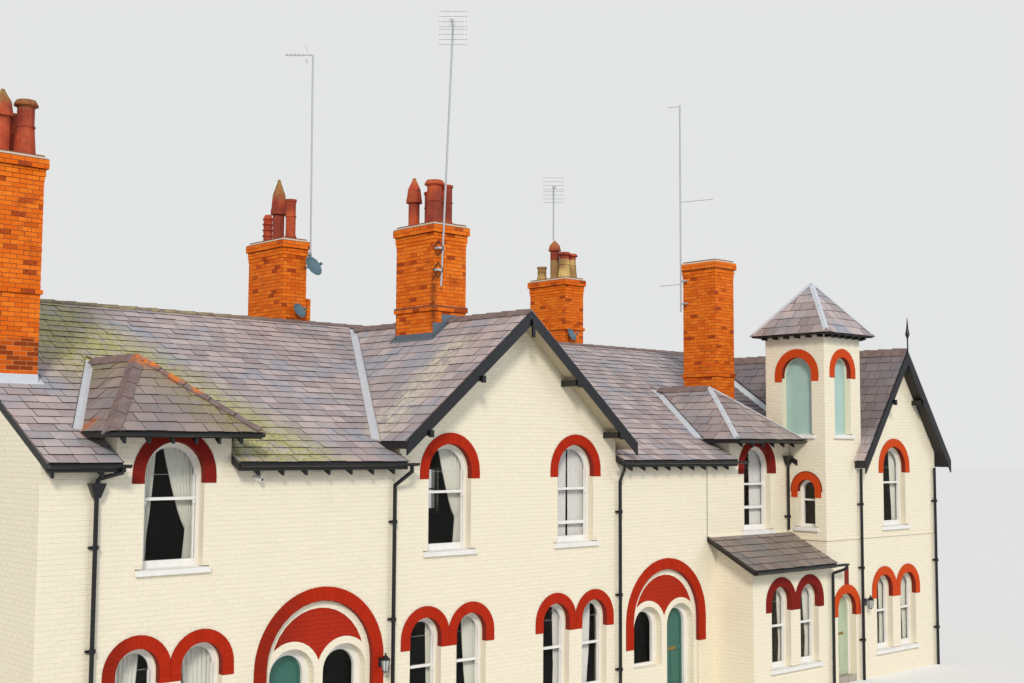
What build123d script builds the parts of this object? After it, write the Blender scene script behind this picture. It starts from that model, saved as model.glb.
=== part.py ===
"""Two joined brick houses with a shared front gable, and the turreted end house that closes the row.

Millimetres, +Z up. The origin is on the ground, on the party line between the two houses,
in the outer face of the front wall. The front looks towards -Y and the row runs along X.
"""
import os
from math import cos, hypot, pi, radians, sin, tan

from build123d import *

os.makedirs("parts", exist_ok=True)

# Plan
wall = 350
left_end = -9930
right_end = 14750
depth = 11940
bay_face = -1080
lean_to_left = 6500
turret_left = 9500
turret_right = 11100
turret_back = 700
turret_wall = 300

# Storeys
ground_floor_top = 150
first_floor_top = 3050
floor_thickness = 150
turret_top = 8700

# Main roof
ridge_y = depth / 2
eave_out = 250
eave_z = 5515
main_pitch = 26.9
roof_thick = 140
main_rise = tan(radians(main_pitch))
ridge_z = eave_z + main_rise * (ridge_y + eave_out)
verge = 100

# Central gable
gable_half_wall = 3000
gable_half_roof = 3200
gable_apex = 8560
gable_rise = tan(radians(39.75))
gable_front = -450

# Half-dormers, one to each house
dormer_eave_z = 6020
dormer_apex_z = 7330
dormer_hip_y = 1450
dormer_front = -450
dormer_thick = 100
left_dormer_roof = (-9020, -6300)
left_dormer_wall = (-8700, -6620)
right_dormer_roof = (6760, 9480)
right_dormer_wall = (7050, 9500)

# Wing of the end house
wing_x = (turret_right + right_end) / 2
wing_half_roof = 2130
wing_apex = 8400
wing_rise = 1.36
wing_front = -1380
wing_thick = 190

# Lean-to bay of the right-hand house
lean_to_top = 3690
lean_to_rise = 0.511
lean_to_front = -1350
lean_to_thick = 100
lean_to_verge = 6180

# Turret roof
turret_eave_z = 8700
turret_roof_apex = 10060
turret_eave = 250

# First-floor window, one light under a round arch
upper_x = (-7660, -1750, 1750, 8150)
upper_half = 540
upper_ring = 220
upper_spring = 5320
upper_ring_foot = 5180
upper_sill = 3810
upper_sill_half = 670
upper_rail = 4905

# Ground-floor window, two lights under joined round arches
twin_x = (-7660, -1750, 1750)
twin_pitch = 1150
twin_half = 380
twin_ring = 220
twin_spring = 2170
twin_ring_foot = 1970
twin_sill = 660
twin_sill_half = 1030
twin_rail = 1600

bay_twin_x = 8150
wing_window_x = 12670

# Arched entrance
entrance_x = 4710
entrance_half = 1130
entrance_ring = 250
entrance_spring = 1920
entrance_ring_foot = 1350
tympanum_half = 1000
recess_offset = 560
recess_half = 470
recess_rim = 130
recess_spring = 1770
screen_front = 80
screen_back = 450
recess_sill = 900

# Turret openings
turret_door_x = 10340
turret_door_half = 400
turret_door_ring = 220
turret_door_spring = 1800
turret_door_ring_foot = 1640
turret_side_y = -250
turret_side_half = 440
turret_side_spring = 7670
turret_front_x = 10300
turret_front_half = 360
turret_front_spring = 7755
turret_ring_foot = 7590
turret_sill = 6170
turret_slit_y = -500
turret_slit_half = 255
turret_slit_spring = 4770
turret_slit_sill = 3860

# Every round head has this many short sides
arch_steps = 16

# Joinery
ring_depth = 110
ring_proud = 8
frame_setback = 170
frame_depth = 60
frame_width = 60
rail_height = 45
glass_thick = 8
sill_height = 110
sill_out = 60
door_thick = 45
gap = 6

# Rear windows
rear_x = (-7000, -3000, 3000, 7000, 12000)
rear_half = 520
rear_upper = (3860, 5160)
rear_lower = (960, 2480)

# Rainwater goods
gutter_radius = 60
gutter_wall = 8
pipe_radius = 38

# Roof trim
tile_half = 150
tile_thick = 35
hip_tile_half = 110
lead_half = 75
lead_thick = 15
apron = 140

# Chimneys: two ranges in plan, foot, top, and the level of the projecting band
chimneys = {
    "left_party": ((-9930, -9030), (2400, 3700), 6300, 10830, None),
    "gable": ((-500, 410), (2100, 3420), 7200, 10700, 8860),
    "rear_left": ((-1700, -1050), (6200, 7700), 8000, 10690, None),
    "rear_right": ((8450, 9190), (7000, 8480), 7700, 10780, 9300),
    "front_right": ((8450, 9210), (1500, 2570), 6000, 10730, 7750),
}
cap_height = 240
cap_out = 60
cap_slope = 70
band_height = 80
band_out = 35


# Shapes

def block(x, y, z):
    """A box between the two ends of each range."""
    middle = [(a + b) / 2 for a, b in (x, y, z)]
    return Pos(*middle) * Box(x[1] - x[0], y[1] - y[0], z[1] - z[0])


def along_x(outline, x):
    """An outline of (y, z) points drawn out along x."""
    face = make_face(Polyline(*outline, close=True))
    return extrude(Plane.YZ.offset(x[0]) * face, amount=x[1] - x[0])


def along_y(outline, y):
    """An outline of (x, z) points drawn out along y."""
    face = make_face(Polyline(*outline, close=True))
    return extrude(Plane.XZ.offset(-y[0]) * face, amount=y[0] - y[1])


def half_round(radius, steps, middle=(0, 0)):
    """Points of a half-circle, from its right end over the top to its left end."""
    turns = [pi * i / steps for i in range(steps + 1)]
    return [(middle[0] + radius * cos(t), middle[1] + radius * sin(t)) for t in turns]


def arch(half, foot, spring, y):
    """A solid as wide as an opening, square up to the springing and round above it."""
    return along_y([(-half, foot), (half, foot)] + half_round(half, arch_steps, (0, spring)), y)


def pair(shape, pitch):
    """Two copies of a shape, side by side."""
    return Pos(-pitch / 2, 0, 0) * shape + Pos(pitch / 2, 0, 0) * shape


def save(node, *solids):
    """Writes one named node, made of one or several solids."""
    flat = [s for shape in solids for s in shape.solids()]
    shape = flat[0] if len(flat) == 1 else Compound(flat)
    export_step(shape, f"parts/{node}.step")


def faceted(rings):
    """A solid with flat sides through rings of corners, from the lowest up."""
    faces = [Face(Wire.make_polygon(rings[0])), Face(Wire.make_polygon(rings[-1]))]
    for low, high in zip(rings, rings[1:]):
        for i in range(len(low)):
            faces.append(Face(Wire.make_polygon([low[i - 1], low[i], high[i], high[i - 1]])))
    return Solid(Shell(faces))


def level_box(x, y, half_x, half_y, z):
    """The corners of a level rectangle about a point."""
    return [(x + half_x * a, y + half_y * b, z) for a, b in ((-1, -1), (1, -1), (1, 1), (-1, 1))]


def turned(profile, x, y, z, sides=12):
    """An upright round shape through (radius, height) rings, standing at a place."""
    turns = [2 * pi * (i + 0.5) / sides for i in range(sides)]
    return faceted([
        [(x + radius * cos(a), y + radius * sin(a), z + height) for a in turns] for radius, height in profile
    ])


# Roof volumes

def main_z(y):
    """Height of the slates of the main front slope."""
    return eave_z + main_rise * (y + eave_out)


house_x = (left_end, right_end)
back_eave_y = depth + eave_out

over_main = along_x(
    [
        (-eave_out, 0),
        (-eave_out, eave_z),
        (ridge_y, ridge_z),
        (back_eave_y, eave_z),
        (back_eave_y, 0),
    ],
    (left_end, right_end + verge),
)
under_main = along_x(
    [
        (0, 0),
        (0, main_z(0) - roof_thick),
        (ridge_y, ridge_z - roof_thick),
        (depth, main_z(0) - roof_thick),
        (depth, 0),
    ],
    house_x,
)


def ridged(centre, half, apex, rise, y, low=4600):
    """A ridged volume along y, closed by upright sides down to a low level."""
    foot = apex - rise * half
    outline = [
        (centre - half, low),
        (centre - half, foot),
        (centre, apex),
        (centre + half, foot),
        (centre + half, low),
    ]
    return along_y(outline, y)


def hipped(x, drop=0, low=4600):
    """A half-dormer's volume: two side slopes and a hipped front slope."""
    centre = (x[0] + x[1]) / 2
    apex = dormer_apex_z - drop
    foot = dormer_eave_z - drop
    outline = [(x[0], low), (x[0], foot), (centre, apex), (x[1], foot), (x[1], low)]
    sides = along_y(outline, (dormer_front, 3700))
    front = along_x(
        [(dormer_front, low), (dormer_front, foot), (dormer_hip_y, apex), (3700, apex), (3700, low)], x
    )
    return sides & front


gable_outer = ridged(0, gable_half_roof, gable_apex, gable_rise, (gable_front, ridge_y))
gable_inner = ridged(0, gable_half_roof, gable_apex - roof_thick, gable_rise, (gable_front, ridge_y), 4500)
wing_outer = ridged(wing_x, wing_half_roof, wing_apex, wing_rise, (wing_front, ridge_y))
wing_inner = ridged(wing_x, wing_half_roof, wing_apex - wing_thick, wing_rise, (wing_front, ridge_y), 4500)
left_dormer_outer = hipped(left_dormer_roof)
left_dormer_inner = hipped(left_dormer_roof, dormer_thick, 4500)
right_dormer_outer = hipped(right_dormer_roof)
right_dormer_inner = hipped(right_dormer_roof, dormer_thick, 4500)

tall = (0, 9000)
gable_column = block((-gable_half_wall, gable_half_wall), (0, ridge_y), tall)
left_dormer_column = block(left_dormer_wall, (0, ridge_y), tall)
right_dormer_column = block(right_dormer_wall, (0, ridge_y), tall)
wing_column = block((turret_right, right_end), (bay_face, ridge_y), tall)
turret_column = block((turret_left, turret_right), (bay_face, turret_back), (0, turret_top))

under_gable = gable_inner & gable_column
under_left_dormer = left_dormer_inner & left_dormer_column
under_right_dormer = right_dormer_inner & right_dormer_column
under_wing = (wing_inner & wing_column) + block((turret_right, right_end), (bay_face, 0), (0, 4600))
under_lean_to = along_x(
    [(bay_face, 0), (bay_face, lean_to_top - lean_to_thick + lean_to_rise * bay_face),
     (0, lean_to_top - lean_to_thick), (0, 0)],
    (lean_to_left, turret_left),
)


# Windows and doors, each drawn at x = 0 with its wall face at y = 0

through = (-50, wall + 50)


def ring(half, width, foot, spring):
    """The brick arch round an opening."""
    y = (-ring_proud, ring_depth)
    return arch(half + width, foot, spring, y) - arch(half, foot - 50, spring, y)


def sash(half, sill, spring, rail):
    """A window frame with its meeting rail; the panes are left open."""
    y = (frame_setback, frame_setback + frame_depth)
    frame = arch(half, sill, spring, y)
    upper_pane = arch(half - frame_width, rail + rail_height, spring, y)
    lower_pane = block((frame_width - half, half - frame_width), y, (sill + frame_width, rail))
    return frame - upper_pane - lower_pane


def pane(half, sill, spring):
    """A sheet of glass behind the bars, let into the frame."""
    inset = frame_width - 1
    y = (frame_setback + frame_depth, frame_setback + frame_depth + glass_thick)
    return arch(half - inset, sill + inset, spring, y)


def sill(half, top):
    """A stone sill, let into the wall, with its top falling outwards."""
    back = frame_setback
    outline = [
        (-sill_out, top - sill_height),
        (-sill_out, top - 25),
        (back, top),
        (back, top - sill_height),
    ]
    return along_x(outline, (-half, half))


upper_hole = arch(upper_half, upper_sill - sill_height, upper_spring, through)
upper_ring_shape = ring(upper_half, upper_ring, upper_ring_foot, upper_spring)
upper_sash = sash(upper_half, upper_sill, upper_spring, upper_rail)
upper_pane = pane(upper_half, upper_sill, upper_spring)
upper_sill_shape = sill(upper_sill_half, upper_sill)
upper_cut = upper_hole + arch(upper_half + upper_ring, upper_ring_foot, upper_spring, (-50, ring_depth)) \
    + block((-upper_sill_half, upper_sill_half), (-50, frame_setback), (upper_sill - sill_height, upper_sill))

twin_light = arch(twin_half, twin_sill - sill_height, twin_spring, through)
twin_outer = arch(twin_half + twin_ring, twin_ring_foot, twin_spring, (-ring_proud, ring_depth))
twin_inner = arch(twin_half, twin_ring_foot - 50, twin_spring, (-ring_proud, ring_depth))
twin_ring_shape = pair(twin_outer, twin_pitch) - pair(twin_inner, twin_pitch)
twin_sash = pair(sash(twin_half, twin_sill, twin_spring, twin_rail), twin_pitch)
twin_pane = pair(pane(twin_half, twin_sill, twin_spring), twin_pitch)
twin_sill_shape = sill(twin_sill_half, twin_sill)
twin_cut = pair(twin_light, twin_pitch) \
    + pair(arch(twin_half + twin_ring, twin_ring_foot, twin_spring, (-50, ring_depth)), twin_pitch) \
    + block((-twin_sill_half, twin_sill_half), (-50, frame_setback), (twin_sill - sill_height, twin_sill))

entrance_cut = arch(entrance_half, -50, entrance_spring, through) \
    + arch(entrance_half + entrance_ring, entrance_ring_foot, entrance_spring, (-50, ring_depth))


# Walls

def front_raw(x, roofs):
    """A stretch of the front wall, up to the underside of the roofs over it."""
    return block((x[0], x[1]), (0, wall), tall) & roofs


def cheek(x, volume):
    """A half-dormer's or gable's side wall, standing between the roofs behind the front wall."""
    return (block(x, (wall, 1100), (eave_z - 300, 9000)) & volume) - under_main


def at(shape, x, y=0):
    return Pos(x, y, 0) * shape


entrance_left_edges = (-entrance_x - entrance_half, -entrance_x + entrance_half)
entrance_right_edges = (entrance_x - entrance_half, entrance_x + entrance_half)
cheek_thick = 150

front_wall_left = front_raw((left_end, entrance_left_edges[0]), under_main + under_left_dormer)
front_wall_left += cheek((left_dormer_wall[0], left_dormer_wall[0] + cheek_thick), under_left_dormer)
front_wall_left += cheek((left_dormer_wall[1] - cheek_thick, left_dormer_wall[1]), under_left_dormer)
front_wall_left -= at(upper_cut, upper_x[0]) + at(twin_cut, twin_x[0]) + at(entrance_cut, -entrance_x)
save("front_wall_left", front_wall_left)

gable_wall = front_raw((entrance_left_edges[1], entrance_right_edges[0]), under_main + under_gable)
gable_wall += cheek((-gable_half_wall, -gable_half_wall + cheek_thick), under_gable)
gable_wall += cheek((gable_half_wall - cheek_thick, gable_half_wall), under_gable)
gable_wall -= at(upper_cut, upper_x[1]) + at(upper_cut, upper_x[2])
gable_wall -= at(twin_cut, twin_x[1]) + at(twin_cut, twin_x[2])
gable_wall -= at(entrance_cut, -entrance_x) + at(entrance_cut, entrance_x)
save("front_wall_gable", gable_wall)

over_left = front_raw(entrance_left_edges, under_main) - at(entrance_cut, -entrance_x)
over_right = front_raw(entrance_right_edges, under_main) - at(entrance_cut, entrance_x)
save("front_walls_over_entrances", over_left, over_right)

bay_opening = block((lean_to_left + 300, turret_left - 250), through, (ground_floor_top, 2700))
front_wall_right = front_raw((entrance_right_edges[1], turret_left), under_main + under_right_dormer)
front_wall_right += cheek((right_dormer_wall[0], right_dormer_wall[0] + cheek_thick), under_right_dormer)
front_wall_right -= at(upper_cut, upper_x[3]) + bay_opening + at(entrance_cut, entrance_x)
save("front_wall_right", front_wall_right)

lean_to_shell = under_lean_to & (
    block((lean_to_left, turret_left), (bay_face, bay_face + 300), tall)
    + block((lean_to_left, lean_to_left + 300), (bay_face, 0), tall)
)
save("lean_to_wall", lean_to_shell - at(twin_cut, bay_twin_x, bay_face))


# Turret

def on_left_face(shape, y):
    """Turns a shape drawn for the front so that it serves the turret's left face."""
    return Pos(turret_left, y, 0) * Rot(0, 0, -90) * shape


def turret_arch(half, width, sill_z, spring, ring_foot):
    """Cut, ring, blind panel and sill of one turret window."""
    cut = arch(half, sill_z - sill_height, spring, (-50, turret_wall + 50))
    cut += arch(half + width, ring_foot, spring, (-50, ring_depth))
    cut += block((-half - 90, half + 90), (-50, frame_setback), (sill_z - sill_height, sill_z))
    panel = arch(half, sill_z, spring, (frame_setback, frame_setback + 40))
    return cut, ring(half, width, ring_foot, spring), panel, sill(half + 90, sill_z)


side_window = turret_arch(turret_side_half, 220, turret_sill, turret_side_spring, turret_ring_foot)
front_window = turret_arch(turret_front_half, 215, turret_sill, turret_front_spring, turret_ring_foot)
slit_window = turret_arch(turret_slit_half, 215, turret_slit_sill, turret_slit_spring, 4725)

door_head_top = 2600
turret_inside = block(
    (turret_left + turret_wall, turret_right - turret_wall),
    (bay_face + turret_wall, turret_back - turret_wall),
    (-50, turret_top + 50),
)
drop_half = 95
drop_top = 2850
drop_cut = block((-drop_half, drop_half), (-50, ring_depth), (turret_door_spring, drop_top))
turret_door_cut = arch(turret_door_half, -50, turret_door_spring, (-50, turret_wall + 50))
turret_door_cut += arch(
    turret_door_half + turret_door_ring, turret_door_ring_foot, turret_door_spring, (-50, ring_depth)
)
turret_door_cut += drop_cut
turret_walls = turret_column - turret_inside
turret_walls -= at(turret_door_cut, turret_door_x, bay_face)
turret_walls -= on_left_face(side_window[0], turret_side_y) + on_left_face(slit_window[0], turret_slit_y)
turret_walls -= at(front_window[0], turret_front_x, bay_face)

door_edges = (turret_door_x - turret_door_half, turret_door_x + turret_door_half)
front_strip = (bay_face - 20, bay_face + turret_wall)
over_door = block(door_edges, front_strip, (0, door_head_top))
save("turret_wall_over_door", turret_walls & over_door)
save("turret_walls", turret_walls - over_door)


# Wing and outer walls

wing_wall = block((turret_right, right_end), (bay_face, bay_face + wall), tall) & under_wing
wing_wall -= at(upper_cut, wing_window_x, bay_face) + at(twin_cut, wing_window_x, bay_face)
save("wing_wall", wing_wall)

end_right = block((right_end - wall, right_end), (bay_face + wall, depth - wall), tall)
save("end_wall_right", end_right & (under_main + under_wing))

end_left = block((left_end, left_end + wall), (wall, depth - wall), tall)
party_x, party_y, party_foot, party_top, _ = chimneys["left_party"]
save("party_wall_left", (end_left & under_main) - block(party_x, party_y, (party_foot, party_top)))

rear_wall = block(house_x, (depth - wall, depth), tall) & under_main


def rear_cut(z):
    """Opening for a rear window, with a slot for its sill."""
    hole = block((-rear_half, rear_half), through, (z[0] - sill_height, z[1]))
    slot = block((-rear_half - 80, rear_half + 80), (-50, frame_setback), (z[0] - sill_height, z[0]))
    return hole + slot


def at_rear(shape, x):
    return Pos(x, depth, 0) * Rot(0, 0, 180) * shape


rear_rows = [rear_upper, rear_lower]
for row in rear_rows:
    for x in rear_x:
        rear_wall -= at_rear(rear_cut(row), x)
save("rear_wall", rear_wall)


# Floors

inner_left = left_end + wall
inner_right = right_end - wall
inner_front = wall
inner_back = depth - wall


def floor(top, thickness):
    """A floor over the main rooms and the wing, with one in the turret."""
    z = (top - thickness, top)
    slab = block((inner_left, inner_right), (inner_front, inner_back), z)
    slab += block((turret_right, inner_right), (bay_face + wall, inner_front + 10), z)
    slab -= turret_column
    for screen in screens:
        slab -= screen
    turret_slab = block(
        (turret_left + turret_wall, turret_right - turret_wall),
        (bay_face + turret_wall, turret_back - turret_wall),
        z,
    )
    return slab, turret_slab


screens = [
    at(arch(entrance_half, 0, entrance_spring, (screen_front, screen_back)), x)
    for x in (-entrance_x, entrance_x)
]
bay_slab = block((lean_to_left + 300, turret_left), (bay_face + 300, 0), (0, ground_floor_top))
steps = [
    block((x - recess_half, x + recess_half), (screen_front, screen_back + 1), (0, ground_floor_top))
    for x in (-entrance_x - recess_offset, entrance_x + recess_offset)
]
turret_step = block(door_edges, (bay_face, bay_face + turret_wall + 1), (0, ground_floor_top))
house_slab, turret_slab = floor(ground_floor_top, floor_thickness)
for step in steps:
    house_slab += step
save("ground_floor", house_slab, bay_slab, turret_slab + turret_step)
save("first_floor", *floor(first_floor_top, floor_thickness))


# Entrances

through_screen = (screen_front - 50, screen_back + 50)
tympanum_y = (screen_front + 12, screen_front + 60)


def tympanum(y):
    """The field between an entrance arch and the rims of the two small arches under it."""
    rim = arch(recess_half + recess_rim, 0, recess_spring, y)
    field = arch(tympanum_half, recess_spring, entrance_spring, y)
    field = field - Pos(-recess_offset, 0, 0) * rim - Pos(recess_offset, 0, 0) * rim
    return field.solids().sort_by(SortBy.VOLUME)[-1]


def entrance_screen(side):
    """The wall set back inside an entrance arch; side is 1 where the door is to the right."""
    body = arch(entrance_half, 0, entrance_spring, (screen_front, screen_back))
    recesses = Pos(-recess_offset, 0, 0) * arch(recess_half, -50, recess_spring, through_screen)
    recesses += Pos(recess_offset, 0, 0) * arch(recess_half, -50, recess_spring, through_screen)
    window_x = -side * recess_offset
    apron = block(
        (window_x - recess_half, window_x + recess_half), (screen_front, screen_back), (0, recess_sill)
    )
    body = body - recesses - tympanum((screen_front - 50, tympanum_y[1]))
    heads = body & block((-2000, 2000), (0, 600), (recess_spring, 4000))
    piers = body & block((-2000, 2000), (0, 600), (-10, recess_spring))
    return heads, piers + apron


entrance_ring_shape = ring(entrance_half, entrance_ring, entrance_ring_foot, entrance_spring)

frame_y = (330, 385)
leaf_y = (frame_y[1] - door_thick, frame_y[1])
frame_side = 60


def door_frame(half, spring, y):
    """A round-headed door frame, open at the floor."""
    outer = arch(half, ground_floor_top, spring, y)
    return outer - arch(half - frame_side, 0, spring, y)


def door_leaf(half, spring, y):
    """A round-headed door with two sunk panels below a sunk light."""
    leaf_half = half - frame_side - gap
    leaf = arch(leaf_half, ground_floor_top + gap + 4, spring, y)
    rail = 110
    sunk = (y[0] - 10, y[0] + 14)
    light = arch(leaf_half - rail, spring - 480, spring, sunk)
    panel = block((rail - leaf_half, -45), sunk, (ground_floor_top + 220, spring - 620))
    other = block((45, leaf_half - rail), sunk, (ground_floor_top + 220, spring - 620))
    return leaf - light - panel - other


def recess_window(y):
    """The round-headed window beside an entrance door."""
    outer = arch(recess_half, recess_sill, recess_spring, y)
    return outer - arch(recess_half - frame_side, recess_sill + frame_side, recess_spring, y)


def recess_pane():
    inset = frame_side - 1
    y = (frame_y[1], frame_y[1] + glass_thick)
    return arch(recess_half - inset, recess_sill + inset, recess_spring, y)


heads = []
piers = []
door_frames = []
sash_frames = []
panes = []
tympana = []
for name, side in (("left", -1), ("right", 1)):
    centre = side * entrance_x
    door_x = centre + side * recess_offset
    window_x = centre - side * recess_offset
    head, pier_set = entrance_screen(side)
    heads.append(at(head, centre))
    piers.append(at(pier_set, centre))
    save(f"door_{name}", at(door_leaf(recess_half, recess_spring, leaf_y), door_x))
    door_frames.append(at(door_frame(recess_half, recess_spring, frame_y), door_x))
    sash_frames.append(at(recess_window(frame_y), window_x))
    panes.append(at(recess_pane(), window_x))
    tympana.append(at(tympanum(tympanum_y), centre))
save("entrance_heads", *heads)
save("entrance_piers", *piers)
save("tympana", *tympana)

turret_frame_y = (bay_face + 200, bay_face + 255)
turret_leaf_y = (turret_frame_y[1] - door_thick, turret_frame_y[1])
door_frames.append(at(door_frame(turret_door_half, turret_door_spring, turret_frame_y), turret_door_x))
save("door_turret", at(door_leaf(turret_door_half, turret_door_spring, turret_leaf_y), turret_door_x))
save("door_frames", *door_frames)


# Rings, sills, frames and glass

upper_places = [(x, 0) for x in upper_x] + [(wing_window_x, bay_face)]
twin_places = [(x, 0) for x in twin_x] + [(bay_twin_x, bay_face), (wing_window_x, bay_face)]

save("upper_window_rings", *[at(upper_ring_shape, x, y) for x, y in upper_places])
save("lower_window_rings", *[at(twin_ring_shape, x, y) for x, y in twin_places])
save("entrance_rings", *[at(entrance_ring_shape, x) for x in (-entrance_x, entrance_x)])

turret_door_surround = ring(turret_door_half, turret_door_ring, turret_door_ring_foot, turret_door_spring)
drop = block((-drop_half, drop_half), (-ring_proud, ring_depth), (turret_door_spring, drop_top))
drop -= arch(turret_door_half + 1, 0, turret_door_spring, (-60, ring_depth + 60))
turret_rings = [
    on_left_face(side_window[1], turret_side_y),
    on_left_face(slit_window[1], turret_slit_y),
    at(front_window[1], turret_front_x, bay_face),
    at(turret_door_surround + drop, turret_door_x, bay_face),
]
save("turret_rings", *turret_rings)
save(
    "turret_blind_panels",
    on_left_face(side_window[2], turret_side_y),
    at(front_window[2], turret_front_x, bay_face),
)

sash_frames += [at(upper_sash, x, y) for x, y in upper_places]
sash_frames += [at(twin_sash, x, y) for x, y in twin_places]
panes += [at(upper_pane, x, y) for x, y in upper_places]
panes += [at(twin_pane, x, y) for x, y in twin_places]
slit_frame = sash(turret_slit_half, turret_slit_sill, turret_slit_spring, 4500)
sash_frames.append(on_left_face(slit_frame, turret_slit_y))
panes.append(on_left_face(pane(turret_slit_half, turret_slit_sill, turret_slit_spring), turret_slit_y))
save("front_window_frames", *sash_frames)
save("front_glass", *panes)

sills = [at(upper_sill_shape, x, y) for x, y in upper_places]
sills += [at(twin_sill_shape, x, y) for x, y in twin_places]
sills += [on_left_face(side_window[3], turret_side_y), on_left_face(slit_window[3], turret_slit_y)]
sills.append(at(front_window[3], turret_front_x, bay_face))


def rear_frame(z):
    """A square-headed sash window for the rear wall."""
    y = (frame_setback, frame_setback + frame_depth)
    rail = (z[0] + z[1]) / 2
    side = (frame_width - rear_half, rear_half - frame_width)
    frame = block((-rear_half, rear_half), y, z)
    frame -= block(side, y, (z[0] + frame_width, rail - rail_height / 2))
    return frame - block(side, y, (rail + rail_height / 2, z[1] - frame_width))


def rear_pane(z):
    side = (frame_width - 1 - rear_half, rear_half - frame_width + 1)
    y = (frame_setback + frame_depth, frame_setback + frame_depth + glass_thick)
    return block(side, y, (z[0] + frame_width - 1, z[1] - frame_width + 1))


rear_places = [(x, row) for row in rear_rows for x in rear_x]
save("rear_window_frames", *[at_rear(rear_frame(row), x) for x, row in rear_places])
save("rear_glass", *[at_rear(rear_pane(row), x) for x, row in rear_places])
sills += [at_rear(sill(rear_half + 80, row[0]), x) for x, row in rear_places]
save("window_sills", *sills)

string_z = (3530, 3590)
string_out = 35
string_end_y = -330
string_course = block((turret_left - string_out, right_end), (bay_face - string_out, bay_face), string_z)
string_course += block((turret_left - string_out, turret_left), (bay_face, string_end_y), string_z)
save("string_course", string_course)


# Roofs

front_slope = along_x(
    [
        (-eave_out, eave_z),
        (ridge_y, ridge_z),
        (ridge_y, ridge_z - roof_thick),
        (-eave_out, eave_z - roof_thick),
    ],
    (left_end, right_end + verge),
)
below_slope = along_x(
    [(-eave_out, 0), (-eave_out, eave_z - roof_thick), (ridge_y, ridge_z - roof_thick), (ridge_y, 0)],
    (left_end, right_end + verge),
)
notches = [
    gable_outer & block((-gable_half_wall, gable_half_wall), (-1000, ridge_y), tall),
    left_dormer_outer & block(left_dormer_wall, (-1000, ridge_y), tall),
    right_dormer_outer & block(right_dormer_wall, (-1000, ridge_y), tall),
    wing_outer & block((turret_right, right_end), (wing_front, ridge_y), tall),
    block((turret_left, turret_right), (wing_front, turret_back), (0, 9000)),
]
for notch in notches:
    front_slope -= notch

rear_slope = along_x(
    [
        (back_eave_y, eave_z),
        (ridge_y, ridge_z),
        (ridge_y, ridge_z - roof_thick),
        (back_eave_y, eave_z - roof_thick),
    ],
    (left_end, right_end + verge),
)
gable_roof = gable_outer - gable_inner - below_slope - front_slope
left_dormer = left_dormer_outer - left_dormer_inner - below_slope - front_slope
right_dormer = right_dormer_outer - right_dormer_inner - below_slope - front_slope
wing_roof = wing_outer - wing_inner - below_slope - front_slope - turret_column

stacks = [block(x, y, (foot, top)) for x, y, foot, top, _ in chimneys.values()]
stub = block((-1050, -820), (6350, 7000), (7900, 9300))
stacks.append(stub)
for stack in stacks:
    front_slope -= stack
    rear_slope -= stack
    gable_roof -= stack
    right_dormer -= stack


def largest(shape):
    """The main solid of a cut shape, without slivers."""
    return shape.solids().sort_by(SortBy.VOLUME)[-1]


save("main_roof_front", largest(front_slope))
save("main_roof_rear", largest(rear_slope))
save("gable_roof", largest(gable_roof))
save("half_dormer_roofs", largest(left_dormer), largest(right_dormer))
save("wing_roof", largest(wing_roof))

lean_to_roof = along_x(
    [
        (lean_to_front, lean_to_top + lean_to_rise * lean_to_front),
        (0, lean_to_top),
        (0, lean_to_top - lean_to_thick),
        (lean_to_front, lean_to_top - lean_to_thick + lean_to_rise * lean_to_front),
    ],
    (lean_to_verge, turret_left),
)
save("lean_to_roof", lean_to_roof)

turret_x = (turret_left + turret_right) / 2
turret_y = (bay_face + turret_back) / 2
turret_half_x = (turret_right - turret_left) / 2
turret_half_y = (turret_back - bay_face) / 2


def pyramid(out, foot, apex, tip=20):
    """A four-sided roof over the turret, standing a distance out from its walls."""
    base = level_box(turret_x, turret_y, turret_half_x + out, turret_half_y + out, foot)
    return faceted([base, level_box(turret_x, turret_y, tip / 2, tip / 2, apex)])


turret_outer = pyramid(turret_eave, turret_eave_z, turret_roof_apex)
turret_outer += block(
    (turret_left - turret_eave, turret_right + turret_eave),
    (bay_face - turret_eave, turret_back + turret_eave),
    (turret_eave_z - 40, turret_eave_z),
)
turret_roof = turret_outer - pyramid(-120, turret_eave_z - 60, turret_roof_apex - 520)
save("turret_roof", turret_roof - turret_column)


# What lies on the slates: clay tiles over ridges and hips, lead in valleys and round stacks

roof_hull = over_main + gable_outer + left_dormer_outer + right_dormer_outer + wing_outer


def skin(hull, thick):
    """The layer that lies on a roof."""
    return Pos(0, 0, thick) * hull - hull


def strip(start, end, half, z=(5000, 10500)):
    """An upright wall of even width between two points in plan."""
    length = hypot(end[0] - start[0], end[1] - start[1])
    across = ((start[1] - end[1]) / length * half, (end[0] - start[0]) / length * half)
    corners = [
        (start[0] + across[0], start[1] + across[1]),
        (end[0] + across[0], end[1] + across[1]),
        (end[0] - across[0], end[1] - across[1]),
        (start[0] - across[0], start[1] - across[1]),
    ]
    return Pos(0, 0, z[0]) * extrude(make_face(Polyline(*corners, close=True)), amount=z[1] - z[0])


def main_y(z):
    """Where the slates of the main front slope reach a height."""
    return (z - eave_z) / main_rise - eave_out


def dormer_middle(x):
    return (x[0] + x[1]) / 2


def valley(centre, half, apex, rise, side):
    """Plan ends of the valley where a ridged roof meets the main slope; side is -1 or 1."""
    foot = (centre + side * half, main_y(apex - rise * half))
    return foot, (centre, main_y(apex))


dormer_half = (left_dormer_roof[1] - left_dormer_roof[0]) / 2
dormer_rise = (dormer_apex_z - dormer_eave_z) / dormer_half
left_middle = dormer_middle(left_dormer_roof)
right_middle = dormer_middle(right_dormer_roof)
gable_ridge_end = main_y(gable_apex - gable_rise * tile_half)
dormer_ridge_end = main_y(dormer_apex_z - dormer_rise * tile_half)
wing_ridge_end = main_y(wing_apex - wing_rise * tile_half)

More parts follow.
